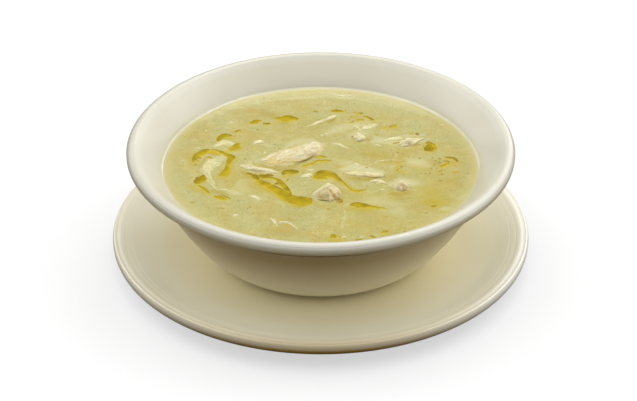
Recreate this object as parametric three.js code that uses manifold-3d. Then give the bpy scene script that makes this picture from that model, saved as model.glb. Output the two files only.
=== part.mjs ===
// A bowl of chicken broth: a glazed porcelain soup bowl with a rolled lip stands on its matching
// underplate and holds a cloudy broth, in which pieces of pulled chicken float.
// Millimetres, +Z up. The origin is on the table, under the middle of the underplate.

import * as THREE from "three";
import { mergeVertices } from "three/addons/utils/BufferGeometryUtils.js";
import Module from "manifold-3d";

const wasm = await Module();
wasm.setup();

// Driving dimensions

const FACETS = 60; // sides of every turned piece
const GAP = 0.3; // clearance kept between pieces that lie against each other

const PLATE_RADIUS = 92.6;
const PLATE_EDGE_WIDE = 1.4; // half width of the rolled edge of the underplate
const PLATE_EDGE_TALL = 2.5; // half height of that edge
const PLATE_EDGE_HEIGHT = 10.3; // height of the middle of that edge
const PLATE_GROOVE_RADIUS = 89.6; // where the rolled edge meets the border inside it
const PLATE_GROOVE_HEIGHT = 11.75;
const PLATE_BORDER_RADIUS = 80; // where the sloping border meets the well's slope
const PLATE_BORDER_HEIGHT = 9.1;
const PLATE_WELL_HEIGHT = 5.5; // top of the flat middle, on which the bowl stands
const PLATE_WELL_RADIUS = 44;
const PLATE_FOOT_INNER = 42;
const PLATE_FOOT_OUTER = 47;
const PLATE_RECESS = 1.8; // hollow inside the foot ring

const FOOT_FLARE = 0.8; // how much a foot ring widens from the table up

const BOWL_RADIUS = 85;
const LIP_RADIUS = 2.8; // rolled lip of the bowl
const LIP_HEIGHT = 53.8; // height of the middle of that lip
const LIP_INNER_TURN = 130; // degrees round the lip at which it runs into the inner wall
const LIP_UNDERCUT = 1; // how far in under the lip's middle the neck meets it
const BODY_TOP_RADIUS = 76.4; // where the body runs into the neck
const BODY_TOP_HEIGHT = 49.2;
const BODY_START_RADIUS = 45.5; // where the body rises from the flat round the foot
const BOWL_FOOT_INNER = 35.5;
const BOWL_FOOT_OUTER = 40;
const BOWL_FOOT_HEIGHT = 1.3;
const BOWL_RECESS = 2.6; // hollow inside the foot ring
const BOWL_FLOOR_HEIGHT = 12; // inner floor, hidden by the broth

const BROTH_LEVEL = 44.8;
const BROTH_RADIUS = 69.6; // where the broth meets the inner wall
const MENISCUS = 0.45; // how far the broth climbs up the wall
const MENISCUS_WIDTH = 1.3;

const lipCentre = new THREE.Vector2(BOWL_RADIUS - LIP_RADIUS, LIP_HEIGHT);
const edgeCentre = new THREE.Vector2(PLATE_RADIUS - PLATE_EDGE_WIDE, PLATE_EDGE_HEIGHT);
const bowlFootBottom = PLATE_WELL_HEIGHT + GAP;

// The pieces of chicken that stand out of the broth. Each is carried by a spine of two to five
// points [x, y] at the broth's level; half width, height over the broth and depth below it are
// given at the same points. peak makes the section more pointed, bluntness squares off the ends.
const CHICKEN = [
  {
    name: "chicken_large_chunk",
    spine: [[-26, 2.6], [-20, 4.4], [-13.5, 7.6], [-5.2, 13], [1, 16]],
    halfWidth: [1, 2.4, 4.2, 5.2, 4],
    height: [0.5, 1.6, 2.8, 3.6, 2.9],
    depth: [1.4, 2.4, 3.2, 3.4, 2.6],
    peak: 0.9, bluntness: 2.8, lumps: 0.08, phase: 0.4, around: 18, along: 14,
  },
  {
    name: "chicken_long_strip",
    spine: [[-35.6, -0.5], [-27, -4], [-18.2, -6.8]],
    halfWidth: [1.2, 1.4, 1],
    height: [1, 1.3, 0.7],
    depth: [1, 1.3, 1],
    peak: 1, bluntness: 3, lumps: 0.08, phase: 2.1, around: 12, along: 12,
  },
  {
    name: "chicken_front_chunk",
    spine: [[-4.4, -26.6], [-1, -25.4], [3, -24.2], [6.6, -25], [8.8, -26]],
    halfWidth: [2.4, 4.2, 5.2, 4.6, 2.6],
    height: [0.8, 2.6, 4.8, 3, 1.4],
    depth: [1.6, 2.8, 3.2, 2.8, 1.8],
    peak: 1.35, bluntness: 2.6, lumps: 0.07, phase: 3.3, around: 18, along: 14,
  },
  {
    name: "chicken_flat_strip",
    spine: [[10.8, -6.6], [19, -8.1], [27.6, -9.3]],
    halfWidth: [0.9, 1.9, 1.6],
    height: [0.6, 1.1, 1.5],
    depth: [1, 1.4, 1.4],
    peak: 1, bluntness: 3, lumps: 0.08, phase: 5, around: 12, along: 12,
  },
  {
    name: "chicken_small_wedge",
    spine: [[20.6, -14.6], [24.4, -13.9], [28.4, -15.4]],
    halfWidth: [0.9, 1.5, 1],
    height: [0.5, 1.2, 0.6],
    depth: [0.9, 1.2, 0.9],
    peak: 1.2, bluntness: 2.4, lumps: 0.08, phase: 1.2, around: 12, along: 9,
  },
  {
    name: "chicken_right_chunk",
    spine: [[31.2, -20], [34.8, -18.9], [38.6, -19.8]],
    halfWidth: [1.3, 2.6, 1.5],
    height: [0.9, 3.2, 1.2],
    depth: [1.2, 2, 1.2],
    peak: 1.2, bluntness: 2.6, lumps: 0.07, phase: 4.1, around: 14, along: 10,
  },
  {
    name: "chicken_crooked_piece",
    spine: [[34.4, 17.2], [38.2, 18.5], [42.6, 21.4], [47.4, 23.4]],
    halfWidth: [1.7, 2.8, 1.4, 0.8],
    height: [1.3, 2.4, 1.4, 0.7],
    depth: [1.2, 2, 1.4, 0.9],
    peak: 1, bluntness: 2.6, lumps: 0.1, phase: 0.9, around: 14, along: 12,
  },
  {
    name: "chicken_short_piece",
    spine: [[16.1, 26.6], [17.2, 23.6], [18, 20.6]],
    halfWidth: [2, 2.5, 2],
    height: [1.4, 1.9, 1.5],
    depth: [1.2, 1.6, 1.2],
    peak: 1, bluntness: 3.4, lumps: 0.08, phase: 2.7, around: 14, along: 10,
  },
  {
    name: "chicken_back_sliver",
    spine: [[-7.4, 33], [0, 38.2], [7, 43.6]],
    halfWidth: [0.6, 0.9, 1.3],
    height: [0.4, 0.8, 1.3],
    depth: [0.7, 0.9, 1.1],
    peak: 1, bluntness: 2.8, lumps: 0.06, phase: 5.6, around: 10, along: 12,
  },
  {
    name: "chicken_left_shred",
    spine: [[-43.4, 1.4], [-46.4, 1.6], [-49.2, -2.6], [-48.6, -10.6], [-45, -19]],
    halfWidth: [2.6, 3.6, 2.6, 1.1, 0.6],
    height: [0.6, 1, 0.8, 0.5, 0.35],
    depth: [0.9, 1.5, 1.4, 1, 0.7],
    peak: 1, bluntness: 2.6, lumps: 0.07, phase: 1.7, around: 12, along: 14,
  },
];

// Small flakes that barely break the surface, as [x, y, length, half width, height, heading in
// degrees]. They are one solid with the broth.
const FLAKES = [
  [-5, -7, 5, 1.5, 0.8, 35],
  [-26.6, 19.8, 5, 1.6, 0.7, -20],
  [21.4, 33.6, 8, 1.8, 0.5, 40],
  [-27, 47.6, 12, 2, 0.4, -28],
  [10, 62.6, 11, 1.4, 0.4, -12],
  [-16.2, -47.4, 11, 1.5, 0.6, -35],
  [-27, -26.8, 5, 0.9, 0.4, -30],
  [9, 17, 7, 0.8, 0.4, -38],
  [2.6, 27.4, 4, 0.7, 0.4, 30],
  [29.4, 22, 8, 1.5, 0.4, 10],
  [-43.6, 18.4, 9, 2, 0.4, 35],
];
const FLAKE_DEPTH = 1.2;

// Materials

const porcelain = new THREE.MeshStandardMaterial({ color: 0xe6e2d2, roughness: 0.16 });
const cloudyBroth = new THREE.MeshStandardMaterial({ color: 0xcdc487, roughness: 0.22 });
const cookedChicken = new THREE.MeshStandardMaterial({ color: 0xe4dcb8, roughness: 0.45 });

// Outlines

/** Points on an oval round a centre, from one angle in degrees to another. */
function arc(centre, wide, tall, fromDegrees, toDegrees, steps) {
  return Array.from({ length: steps + 1 }, (_, i) => {
    const turn = THREE.MathUtils.degToRad(fromDegrees + ((toDegrees - fromDegrees) * i) / steps);
    return new THREE.Vector2(wide * Math.cos(turn), tall * Math.sin(turn)).add(centre);
  });
}

/** Points on a cubic Bezier curve through [radius, height] pairs, without its first point. */
function sweep(steps, ...corners) {
  const curve = new THREE.CubicBezierCurve(...corners.map((corner) => new THREE.Vector2(...corner)));
  return curve.getPoints(steps).slice(1);
}

/** The inner wall of the bowl, from the lip down to the middle of its floor. */
function innerWall() {
  const start = arc(lipCentre, LIP_RADIUS, LIP_RADIUS, LIP_INNER_TURN, LIP_INNER_TURN, 1)[0];
  const slope = THREE.MathUtils.degToRad(LIP_INNER_TURN);
  const down = new THREE.Vector2(-Math.sin(slope), Math.cos(slope)).multiplyScalar(4).add(start);
  return [
    start,
    ...sweep(3, start.toArray(), down.toArray(), [71.9, 48.8], [BROTH_RADIUS, BROTH_LEVEL]),
    ...sweep(5, [BROTH_RADIUS, BROTH_LEVEL], [61.6, 30.9], [57, BOWL_FLOOR_HEIGHT + 0.4],
      [34, BOWL_FLOOR_HEIGHT]),
    new THREE.Vector2(0, BOWL_FLOOR_HEIGHT),
  ];
}

/** The bowl's section, from the middle of its underside out, over the lip and down inside. */
function bowlOutline() {
  const footTop = bowlFootBottom + BOWL_FOOT_HEIGHT;
  const bodyTop = [BODY_TOP_RADIUS, BODY_TOP_HEIGHT];
  const neckEnd = [lipCentre.x - LIP_UNDERCUT, LIP_HEIGHT - LIP_RADIUS];
  return [
    new THREE.Vector2(0, bowlFootBottom + BOWL_RECESS),
    new THREE.Vector2(BOWL_FOOT_INNER - FOOT_FLARE, bowlFootBottom + BOWL_RECESS),
    new THREE.Vector2(BOWL_FOOT_INNER, bowlFootBottom),
    new THREE.Vector2(BOWL_FOOT_OUTER, bowlFootBottom),
    new THREE.Vector2(BOWL_FOOT_OUTER + FOOT_FLARE, footTop),
    ...sweep(7, [BODY_START_RADIUS, footTop], [55, 8.1], [70.6, 34.5], bodyTop),
    ...sweep(2, bodyTop, [77.2, 51], [79.2, 51.5], neckEnd),
    ...arc(lipCentre, LIP_RADIUS, LIP_RADIUS, -90, 90, 6),
    ...innerWall(),
  ];
}

/** The underplate's section, from the middle of its underside out, over its edge and back. */
function plateOutline() {
  const skirtStart = [PLATE_FOOT_OUTER + FOOT_FLARE, PLATE_RECESS];
  const groove = [PLATE_GROOVE_RADIUS, PLATE_GROOVE_HEIGHT];
  const border = [PLATE_BORDER_RADIUS, PLATE_BORDER_HEIGHT];
  return [
    new THREE.Vector2(0, PLATE_RECESS),
    new THREE.Vector2(PLATE_FOOT_INNER - FOOT_FLARE, PLATE_RECESS),
    new THREE.Vector2(PLATE_FOOT_INNER, 0),
    new THREE.Vector2(PLATE_FOOT_OUTER, 0),
    new THREE.Vector2(...skirtStart),
    ...sweep(3, skirtStart, [64, 2.3], [78, 4.6], [89.4, 7.7]),
    ...arc(edgeCentre, PLATE_EDGE_WIDE, PLATE_EDGE_TALL, -82.5, 137.5, 8),
    new THREE.Vector2(...groove),
    ...sweep(2, groove, [88.2, 11.8], [84, 9.9], border),
    ...sweep(4, border, [66, 7], [56, PLATE_WELL_HEIGHT], [PLATE_WELL_RADIUS, PLATE_WELL_HEIGHT]),
    new THREE.Vector2(0, PLATE_WELL_HEIGHT),
  ];
}

/** The broth's section, from the middle of its underside up the wall and in across its top. */
function brothOutline() {
  const wall = innerWall().slice(4).reverse();
  const clear = wall.map((point, i) => {
    const before = wall[Math.max(i - 1, 0)];
    const after = wall[Math.min(i + 1, wall.length - 1)];
    const run = after.clone().sub(before).normalize();
    return point.clone().add(new THREE.Vector2(-run.y, run.x).multiplyScalar(GAP));
  });
  clear[0].x = 0;
  const edge = BROTH_RADIUS - GAP - 0.1;
  const rings = [edge, edge - 0.8, edge - 2.2, 60, 46, 31, 16, 0];
  return [...clear.slice(0, -1), ...rings.map((radius) => new THREE.Vector2(radius, BROTH_LEVEL))];
}

// Solids

/** A geometry with only positions, its shared vertices merged and no triangle of zero area. */
function tidied(geometry) {
  geometry.deleteAttribute("normal");
  geometry.deleteAttribute("uv");
  const merged = mergeVertices(geometry, 1e-5);
  const index = merged.index.array;
  const kept = [];
  for (let i = 0; i < index.length; i += 3) {
    const [a, b, c] = index.slice(i, i + 3);
    if (a !== b && b !== c && c !== a) kept.push(a, b, c);
  }
  merged.setIndex(kept);
  return merged;
}

/** A solid of revolution about +Z from an outline of radii and heights. */
function turned(outline) {
  const solid = tidied(new THREE.LatheGeometry(outline, FACETS));
  return solid.rotateX(Math.PI / 2);
}

/** The library's solid for a closed geometry. */
function toManifold(geometry) {
  return new wasm.Manifold(new wasm.Mesh({
    numProp: 3,
    vertProperties: new Float32Array(geometry.attributes.position.array),
    triVerts: new Uint32Array(geometry.index.array),
  }));
}

/** The geometry of one of the library's solids. */
function fromManifold(solid) {
  const mesh = solid.getMesh();
  const geometry = new THREE.BufferGeometry();
  geometry.setAttribute("position", new THREE.BufferAttribute(mesh.vertProperties, 3));
  geometry.setIndex(new THREE.BufferAttribute(mesh.triVerts, 1));
  return geometry;
}

/** A power that keeps the sign of its base. */
function signedPower(base, exponent) {
  return Math.sign(base) * Math.abs(base) ** exponent;
}

/**
 * A piece of pulled meat. A loaf-shaped section is carried along a smooth spine at the broth's
 * level and shrinks to a point at both ends along a superellipse of order bluntness. Two slow
 * waves round and along the section make it lumpy.
 */
function pulledMeat({ spine, halfWidth, height, depth, peak, bluntness, lumps, phase, around, along }) {
  const path = new THREE.CatmullRomCurve3(spine.map(([x, y]) => new THREE.Vector3(x, y, 0)));
  const sizes = new THREE.CatmullRomCurve3(
    halfWidth.map((width, i) => new THREE.Vector3(width, height[i], depth[i])));
  const place = (x, y, z) => [x, y, BROTH_LEVEL + z];
  const first = path.getPoint(0);
  const last = path.getPoint(1);
  const positions = [...place(first.x, first.y, 0)];
  for (let ring = 1; ring < along; ring += 1) {
    const share = (1 - Math.cos((Math.PI * ring) / along)) / 2;
    const end = (1 - Math.abs(2 * share - 1) ** bluntness) ** (1 / bluntness);
    const middle = path.getPoint(share);
    const heading = path.getTangent(share);
    const size = sizes.getPoint(share);
    for (let side = 0; side < around; side += 1) {
      const turn = (2 * Math.PI * side) / around;
      const lump = 1 + lumps * (Math.sin(2 * turn + 9 * share + phase)
        + Math.sin(3 * turn - 13 * share + 2 * phase));
      const across = size.x * end * lump * signedPower(Math.cos(turn), 0.85);
      const rise = (turn < Math.PI ? size.y : size.z) * end * lump
        * signedPower(Math.sin(turn), turn < Math.PI ? peak : 0.85);
      positions.push(...place(middle.x + heading.y * across, middle.y - heading.x * across, rise));
    }
  }
  positions.push(...place(last.x, last.y, 0));

  const index = [];
  const tip = positions.length / 3 - 1;
  const vertex = (ring, side) => 1 + (ring - 1) * around + (side % around);
  for (let side = 0; side < around; side += 1) {
    index.push(0, vertex(1, side), vertex(1, side + 1));
    index.push(tip, vertex(along - 1, side + 1), vertex(along - 1, side));
    for (let ring = 1; ring < along - 1; ring += 1) {
      index.push(vertex(ring, side), vertex(ring + 1, side), vertex(ring + 1, side + 1));
      index.push(vertex(ring, side), vertex(ring + 1, side + 1), vertex(ring, side + 1));
    }
  }
  const geometry = new THREE.BufferGeometry();
  geometry.setAttribute("position", new THREE.Float32BufferAttribute(positions, 3));
  geometry.setIndex(index);
  return geometry;
}

/** The same geometry with its surface moved outwards by a distance. */
function grown(geometry, distance) {
  const bigger = geometry.clone();
  bigger.computeVertexNormals();
  const { position, normal } = bigger.attributes;
  for (let i = 0; i < position.count; i += 1) {
    position.setXYZ(i,
      position.getX(i) + distance * normal.getX(i),
      position.getY(i) + distance * normal.getY(i),
      position.getZ(i) + distance * normal.getZ(i));
  }
  bigger.deleteAttribute("normal");
  return bigger;
}

/** A flake lying in the surface, longest along its heading. */
function flake([x, y, length, halfWidth, height, headingDegrees]) {
  const heading = THREE.MathUtils.degToRad(headingDegrees);
  const reach = new THREE.Vector2(Math.cos(heading), Math.sin(heading)).multiplyScalar(length / 2);
  return pulledMeat({
    spine: [[x - reach.x, y - reach.y], [x, y], [x + reach.x, y + reach.y]],
    halfWidth: [halfWidth * 0.6, halfWidth, halfWidth * 0.5],
    height: [height * 0.5, height, height * 0.6],
    depth: [FLAKE_DEPTH, FLAKE_DEPTH, FLAKE_DEPTH],
    peak: 1, bluntness: 2.4, lumps: 0.08, phase: x + y, around: 8, along: 6,
  });
}

/** The broth: its top climbs a little up the wall, it is cut round the chicken and holds flakes. */
function broth(pieces) {
  const liquid = turned(brothOutline());
  const { position } = liquid.attributes;
  for (let i = 0; i < position.count; i += 1) {
    if (Math.abs(position.getZ(i) - BROTH_LEVEL) > 1e-4) continue;
    const fromWall = BROTH_RADIUS - Math.hypot(position.getX(i), position.getY(i));
    position.setZ(i, BROTH_LEVEL + MENISCUS * Math.exp(-fromWall / MENISCUS_WIDTH));
  }
  let solid = toManifold(liquid);
  for (const details of FLAKES) solid = solid.add(toManifold(flake(details)));
  for (const piece of pieces) solid = solid.subtract(toManifold(grown(piece, GAP)));
  return fromManifold(solid);
}

// Assembly

const group = new THREE.Group();

/** Adds one named piece to the group. */
function place(name, geometry, material) {
  const mesh = new THREE.Mesh(geometry, material);
  mesh.name = name;
  group.add(mesh);
}

const chicken = CHICKEN.map((details) => ({ name: details.name, geometry: pulledMeat(details) }));

place("underplate", turned(plateOutline()), porcelain);
place("bowl", turned(bowlOutline()), porcelain);
place("broth", broth(chicken.map((piece) => piece.geometry)), cloudyBroth);
for (const piece of chicken) place(piece.name, piece.geometry, cookedChicken);

export default group;
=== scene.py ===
import math

import bpy
import numpy as np
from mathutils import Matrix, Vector


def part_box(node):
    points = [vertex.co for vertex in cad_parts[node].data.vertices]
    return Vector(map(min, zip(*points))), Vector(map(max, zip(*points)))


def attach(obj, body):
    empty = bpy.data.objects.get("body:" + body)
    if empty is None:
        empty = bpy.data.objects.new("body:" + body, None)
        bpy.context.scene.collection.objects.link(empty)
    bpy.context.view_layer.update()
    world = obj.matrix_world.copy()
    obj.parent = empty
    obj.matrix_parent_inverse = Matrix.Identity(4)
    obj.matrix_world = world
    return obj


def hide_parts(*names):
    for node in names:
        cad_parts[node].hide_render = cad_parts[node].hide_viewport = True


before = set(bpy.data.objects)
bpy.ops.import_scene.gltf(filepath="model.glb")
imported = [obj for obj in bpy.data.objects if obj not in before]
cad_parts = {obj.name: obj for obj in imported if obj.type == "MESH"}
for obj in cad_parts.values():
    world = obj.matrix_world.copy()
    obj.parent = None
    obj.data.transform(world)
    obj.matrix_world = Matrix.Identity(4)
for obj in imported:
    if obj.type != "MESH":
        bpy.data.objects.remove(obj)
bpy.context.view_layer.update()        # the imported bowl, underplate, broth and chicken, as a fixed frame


# Camera
# A long lens a little over a metre away, looking down on the bowl from the front.

CAMERA_ELEVATION = math.radians(31.68)
CAMERA_DISTANCE = 1.105
CAMERA_AIM = Vector((-0.001, 0, 0.02662))
SENSOR_WIDTH = 36.0
PICTURE_WIDTH = 637
FOCAL_PIXELS = 2491.5


def place_camera():
    """Points the camera at its aim from the given elevation and distance, with no shift or blur."""
    lens = bpy.data.cameras.new("camera")
    lens.sensor_width = SENSOR_WIDTH
    lens.lens = SENSOR_WIDTH * FOCAL_PIXELS / PICTURE_WIDTH
    lens.clip_start, lens.clip_end = 0.05, 20
    camera = bpy.data.objects.new("camera", lens)
    back = Vector((0, -math.cos(CAMERA_ELEVATION), math.sin(CAMERA_ELEVATION)))
    camera.location = CAMERA_AIM + CAMERA_DISTANCE * back
    camera.rotation_euler = (-back).to_track_quat("-Z", "Y").to_euler()
    bpy.context.collection.objects.link(camera)
    bpy.context.scene.camera = camera


place_camera()


# Studio
# A white table, seen by the camera only, so that the porcelain's shaded side keeps the warm light
# that its own underplate throws up.

def linear(hex_colour):
    """The linear colour of an sRGB hex value such as "#e6e2d2"."""
    parts = np.array([int(hex_colour[i:i + 2], 16) for i in (1, 3, 5)]) / 255
    low, high = parts / 12.92, ((parts + 0.055) / 1.055) ** 2.4
    return (*np.where(parts <= 0.04045, low, high).tolist(), 1.0)


def add(tree, kind, settings=None, links=None):
    """Adds one shader node, sets its properties or unlinked inputs, and links its other inputs."""
    made = tree.nodes.new(kind)
    for name, value in (settings or {}).items():
        if isinstance(name, str) and hasattr(made, name):
            setattr(made, name, value)
        else:
            made.inputs[name].default_value = value
    for name, socket in (links or {}).items():
        tree.links.new(socket, made.inputs[name])
    return made


def new_material(name):
    """A material with an empty node tree, and that tree."""
    material = bpy.data.materials.new(name)
    material.use_nodes = True
    material.node_tree.nodes.clear()
    return material, material.node_tree


def make_piece(name, points, faces, material, smooth=True):
    """Puts points in millimetres and faces (quads, or triangles with -1 last) into a mesh, and that
    into an object at the origin."""
    faces = np.asarray(faces)
    counts = np.where(faces[:, 3] < 0, 3, 4)
    corners = faces[faces >= 0]
    mesh = bpy.data.meshes.new(name)
    mesh.vertices.add(len(points))
    mesh.vertices.foreach_set("co", (np.asarray(points, float) * 0.001).astype(np.float32).ravel())
    mesh.loops.add(len(corners))
    mesh.loops.foreach_set("vertex_index", corners.astype(np.int32))
    mesh.polygons.add(len(faces))
    mesh.polygons.foreach_set("loop_start", np.concatenate([[0], counts.cumsum()[:-1]]).astype(np.int32))
    mesh.polygons.foreach_set("use_smooth", np.full(len(faces), smooth))
    mesh.update(calc_edges=True)
    mesh.validate()
    mesh.materials.append(material)
    piece = bpy.data.objects.new(name, mesh)
    bpy.context.collection.objects.link(piece)
    return piece


def white_board():
    """Matt white board that glows a little, so that only the object's shade darkens it."""
    material, tree = new_material("white_board")
    surface = add(tree, "ShaderNodeBsdfPrincipled", {
        "Base Color": linear("#909090"), "Roughness": 0.9, "Specular IOR Level": 0.0,
        "Emission Color": (1, 1, 1, 1), "Emission Strength": 0.58})
    add(tree, "ShaderNodeOutputMaterial", links={"Surface": surface.outputs[0]})
    return material


def seen_by_camera_only(thing):
    """Keeps a stage object out of all light but the camera's view of it."""
    thing.visible_diffuse = thing.visible_glossy = False
    thing.visible_transmission = thing.visible_volume_scatter = False


def soft_box(azimuth, elevation, size, watts):
    """A round soft box aimed at the bowl from LIGHT_REACH metres: azimuth 0 is behind the bowl and 90
    at its right, in degrees."""
    turn, lift = math.radians(azimuth), math.radians(elevation)
    away = Vector((math.sin(turn) * math.cos(lift), math.cos(turn) * math.cos(lift), math.sin(lift)))
    lamp = bpy.data.lights.new(f"soft_box_{azimuth}_{elevation}", "AREA")
    lamp.shape, lamp.size, lamp.energy = "DISK", size, watts
    light = bpy.data.objects.new(lamp.name, lamp)
    light.location = Vector((0, 0, 0.03)) + LIGHT_REACH * away
    light.rotation_euler = away.to_track_quat("Z", "Y").to_euler()
    bpy.context.collection.objects.link(light)


FLOOR_REACH, FLOOR_DROP = 3000, 0.05
LIGHT_REACH = 1.2
# Azimuth, elevation, size in metres and watts of each box
SOFT_BOXES = [(45, 38, 1.3, 8.8), (90, 40, 1.3, 8.4), (135, 28, 1.2, 2.9),
              (225, 28, 1.2, 3.2), (270, 44, 1.3, 8.5), (315, 38, 1.3, 6.2), (0, 66, 1.0, 5.6),
              (180, 66, 1.0, 3.4), (180, 16, 0.8, 0.9), (20, 14, 0.6, 0.9), (305, 10, 0.6, 0.8),
              (90, 14, 0.6, 1.1)]

floor_corners = [(x * FLOOR_REACH, y * FLOOR_REACH, -FLOOR_DROP)
                 for x, y in ((-1, -1), (1, -1), (1, 1), (-1, 1))]
floor = make_piece("floor", floor_corners, [[0, 1, 2, 3]], white_board(), smooth=False)
seen_by_camera_only(floor)

for box in SOFT_BOXES:
    soft_box(*box)

world = bpy.data.worlds.new("studio_air")
world.use_nodes = True
world.node_tree.nodes["Background"].inputs["Color"].default_value = (1, 1, 1, 1)
world.node_tree.nodes["Background"].inputs["Strength"].default_value = 0.02
bpy.context.scene.world = world
bpy.context.scene.view_settings.view_transform = "Standard"


# Underplate
# Ivory glazed porcelain, pressed and fired: a rolled edge with a shallow groove and two faint lines
# inside it, a sloping border, a flat well for the bowl and a foot ring. It stands on the table.

PLATE_BEAD_WIDE, PLATE_BEAD_TALL = 1.0, 2.4
PLATE_FOOT_INNER, PLATE_FOOT_OUTER = 42.0, 47.0
PLATE_RECESS = 1.8
PLATE_WELL_RADIUS, PLATE_WELL_HEIGHT = 44.0, 5.5
TURNED_SIDES = 320


def box_mm(node):
    """The lowest and highest corner of a CAD node, in millimetres."""
    low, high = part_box(node)
    return np.array(low) * 1000, np.array(high) * 1000


def arc(centre, wide, tall, start, stop, steps):
    """Points on an oval round centre = (radius, height), from start to stop in degrees."""
    turn = np.radians(np.linspace(start, stop, steps + 1))[:, None]
    return np.asarray(centre) + np.hstack([wide * np.cos(turn), tall * np.sin(turn)])


def bend(steps, *corners):
    """A cubic Bezier curve: the corners weighted by (1-t)^3, 3(1-t)^2 t, 3(1-t) t^2 and t^3."""
    t = np.linspace(0, 1, steps + 1)[:, None]
    a, b, c, d = (np.asarray(corner, float) for corner in corners)
    return (1 - t) ** 3 * a + 3 * (1 - t) ** 2 * t * b + 3 * (1 - t) * t ** 2 * c + t ** 3 * d


def rounded(outline, reach, steps=4):
    """The outline with each corner replaced by a quadratic curve that starts up to reach before it."""
    points = [np.asarray(outline[0], float)]
    t = np.linspace(0, 1, steps + 1)[:, None]
    for before, corner, after in zip(outline[:-2], outline[1:-1], outline[2:]):
        before, corner, after = (np.asarray(p, float) for p in (before, corner, after))
        into, out = before - corner, after - corner
        start = corner + into * min(0.45, reach / np.linalg.norm(into))
        stop = corner + out * min(0.45, reach / np.linalg.norm(out))
        points.extend((1 - t) ** 2 * start + 2 * t * (1 - t) * corner + t ** 2 * stop)
    points.append(np.asarray(outline[-1], float))
    return np.array(points)


def evenly(outline, spacing):
    """The same outline with points added so that none is further than spacing from the next."""
    out = [outline[:1]]
    for a, b in zip(outline[:-1], outline[1:]):
        steps = max(1, int(np.ceil(np.linalg.norm(b - a) / spacing)))
        out.append(a + (b - a) * (np.arange(1, steps + 1) / steps)[:, None])
    return np.concatenate(out)


def fan(tip, first, second):
    """Triangles from one point to each pair of neighbours on a ring, with -1 last."""
    return np.stack([np.full(len(first), tip), first, second, np.full(len(first), -1)], -1)


def turned(outline, sides):
    """A solid of revolution: outline point (r, z) at turn a goes to (r cos a, r sin a, z). The
    outline starts and ends on the axis, where each end is one point."""
    outline = np.asarray(outline)
    turn = np.arange(sides) * 2 * np.pi / sides
    radius, height = outline[1:-1, 0:1], outline[1:-1, 1:2]
    rings = np.stack([radius * np.cos(turn), radius * np.sin(turn), height + 0 * turn], -1)
    points = np.concatenate([[[0, 0, outline[0, 1]]], rings.reshape(-1, 3), [[0, 0, outline[-1, 1]]]])
    index = 1 + np.arange(len(outline) - 2)[:, None] * sides + np.arange(sides)
    beside = np.roll(index, -1, 1)
    sides_of = np.stack([index[:-1], beside[:-1], beside[1:], index[1:]], -1).reshape(-1, 4)
    return points, np.concatenate([sides_of, fan(0, beside[0], index[0]),
                                   fan(len(points) - 1, index[-1], beside[-1])])


def set_attribute(piece, name, values):
    """Stores one number a vertex on a piece's mesh."""
    layer = piece.data.attributes.new(name, "FLOAT", "POINT")
    layer.data.foreach_set("value", np.asarray(values, np.float32).ravel())


def ramp(values, start, stop):
    """0 up to start, 1 from stop on and a straight line between; stop may be the smaller one."""
    return np.clip((values - start) / (stop - start), 0, 1)


def bell(values, middle, width):
    """1 at the middle and less away from it: e to the power of -(distance / width)^2."""
    return np.exp(-((values - middle) / width) ** 2)


def attribute(tree, name):
    """The socket with a mesh attribute's value."""
    return add(tree, "ShaderNodeAttribute", {"attribute_name": name}).outputs["Fac"]


def between(tree, first, second, share):
    """The socket with the mix of two hex colours, by a share socket."""
    return add(tree, "ShaderNodeMix", {"data_type": "RGBA", 6: linear(first), 7: linear(second)},
               {0: share}).outputs[2]


def tinted(tree, colour, tint, share):
    """The socket with a colour socket's mix towards a hex tint, by a share socket."""
    return add(tree, "ShaderNodeMix", {"data_type": "RGBA", 7: linear(tint)},
               {0: share, 6: colour}).outputs[2]


def ivory_glazed_porcelain():
    """Porcelain in a warm ivory glaze, fired to a smooth gloss: a cream body under a clear coat,
    very slightly uneven in colour and in flatness. Light and shade are painted into its colour by
    mesh attributes: painted shade, duller inside the bowl, and warm and dark on the bowl's outside,
    at its neck, under its lip and on the underplate near the bowl and under its rim; painted light
    on the bowl's lower belly, on its right under the lip and on the well near the bowl; painted
    highlights on the lip's top and on the underplate's rim at the sides. A stain of broth on the
    inner wall is the porcelain's own colour."""
    material, tree = new_material("ivory_glazed_porcelain")
    place = add(tree, "ShaderNodeTexCoord").outputs["Object"]
    cloud = add(tree, "ShaderNodeTexNoise", {"Scale": 40.0, "Detail": 2.0}, {"Vector": place})
    tint = between(tree, "#d7d3bc", "#d5d0b8", cloud.outputs["Fac"])
    # Layers of colour mixed in by mesh attributes: painted shade (the first, second and sixth), painted
    # light (the third), painted highlights (the fourth and last) and a stain of broth (the fifth).
    for layer, glaze in (("painted_inside_shade", "#b0ac9b"), ("painted_warm_shade", "#9c7826"),
                         ("painted_bounce_light", "#f3e9bc"), ("painted_lip_highlight", "#b5b2a4"),
                         ("broth_stain", "#b3ac80"), ("painted_crease_shade", "#4c3c1a"), ("painted_rim_highlight", "#f0eee6")):
        tint = tinted(tree, tint, glaze, attribute(tree, layer))
    ripple = add(tree, "ShaderNodeTexNoise", {"Scale": 120.0, "Detail": 1.0}, {"Vector": place})
    waves = add(tree, "ShaderNodeBump", {"Strength": 0.05, "Distance": 0.0004},
                {"Height": ripple.outputs["Fac"]})
    surface = add(tree, "ShaderNodeBsdfPrincipled", {
        "Roughness": 0.3, "IOR": 1.42, "Coat Weight": 0.15, "Coat Roughness": 0.12, "Coat IOR": 1.5},
        {"Base Color": tint, "Normal": waves.outputs[0]})
    add(tree, "ShaderNodeOutputMaterial", links={"Surface": surface.outputs[0]})
    return material


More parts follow.
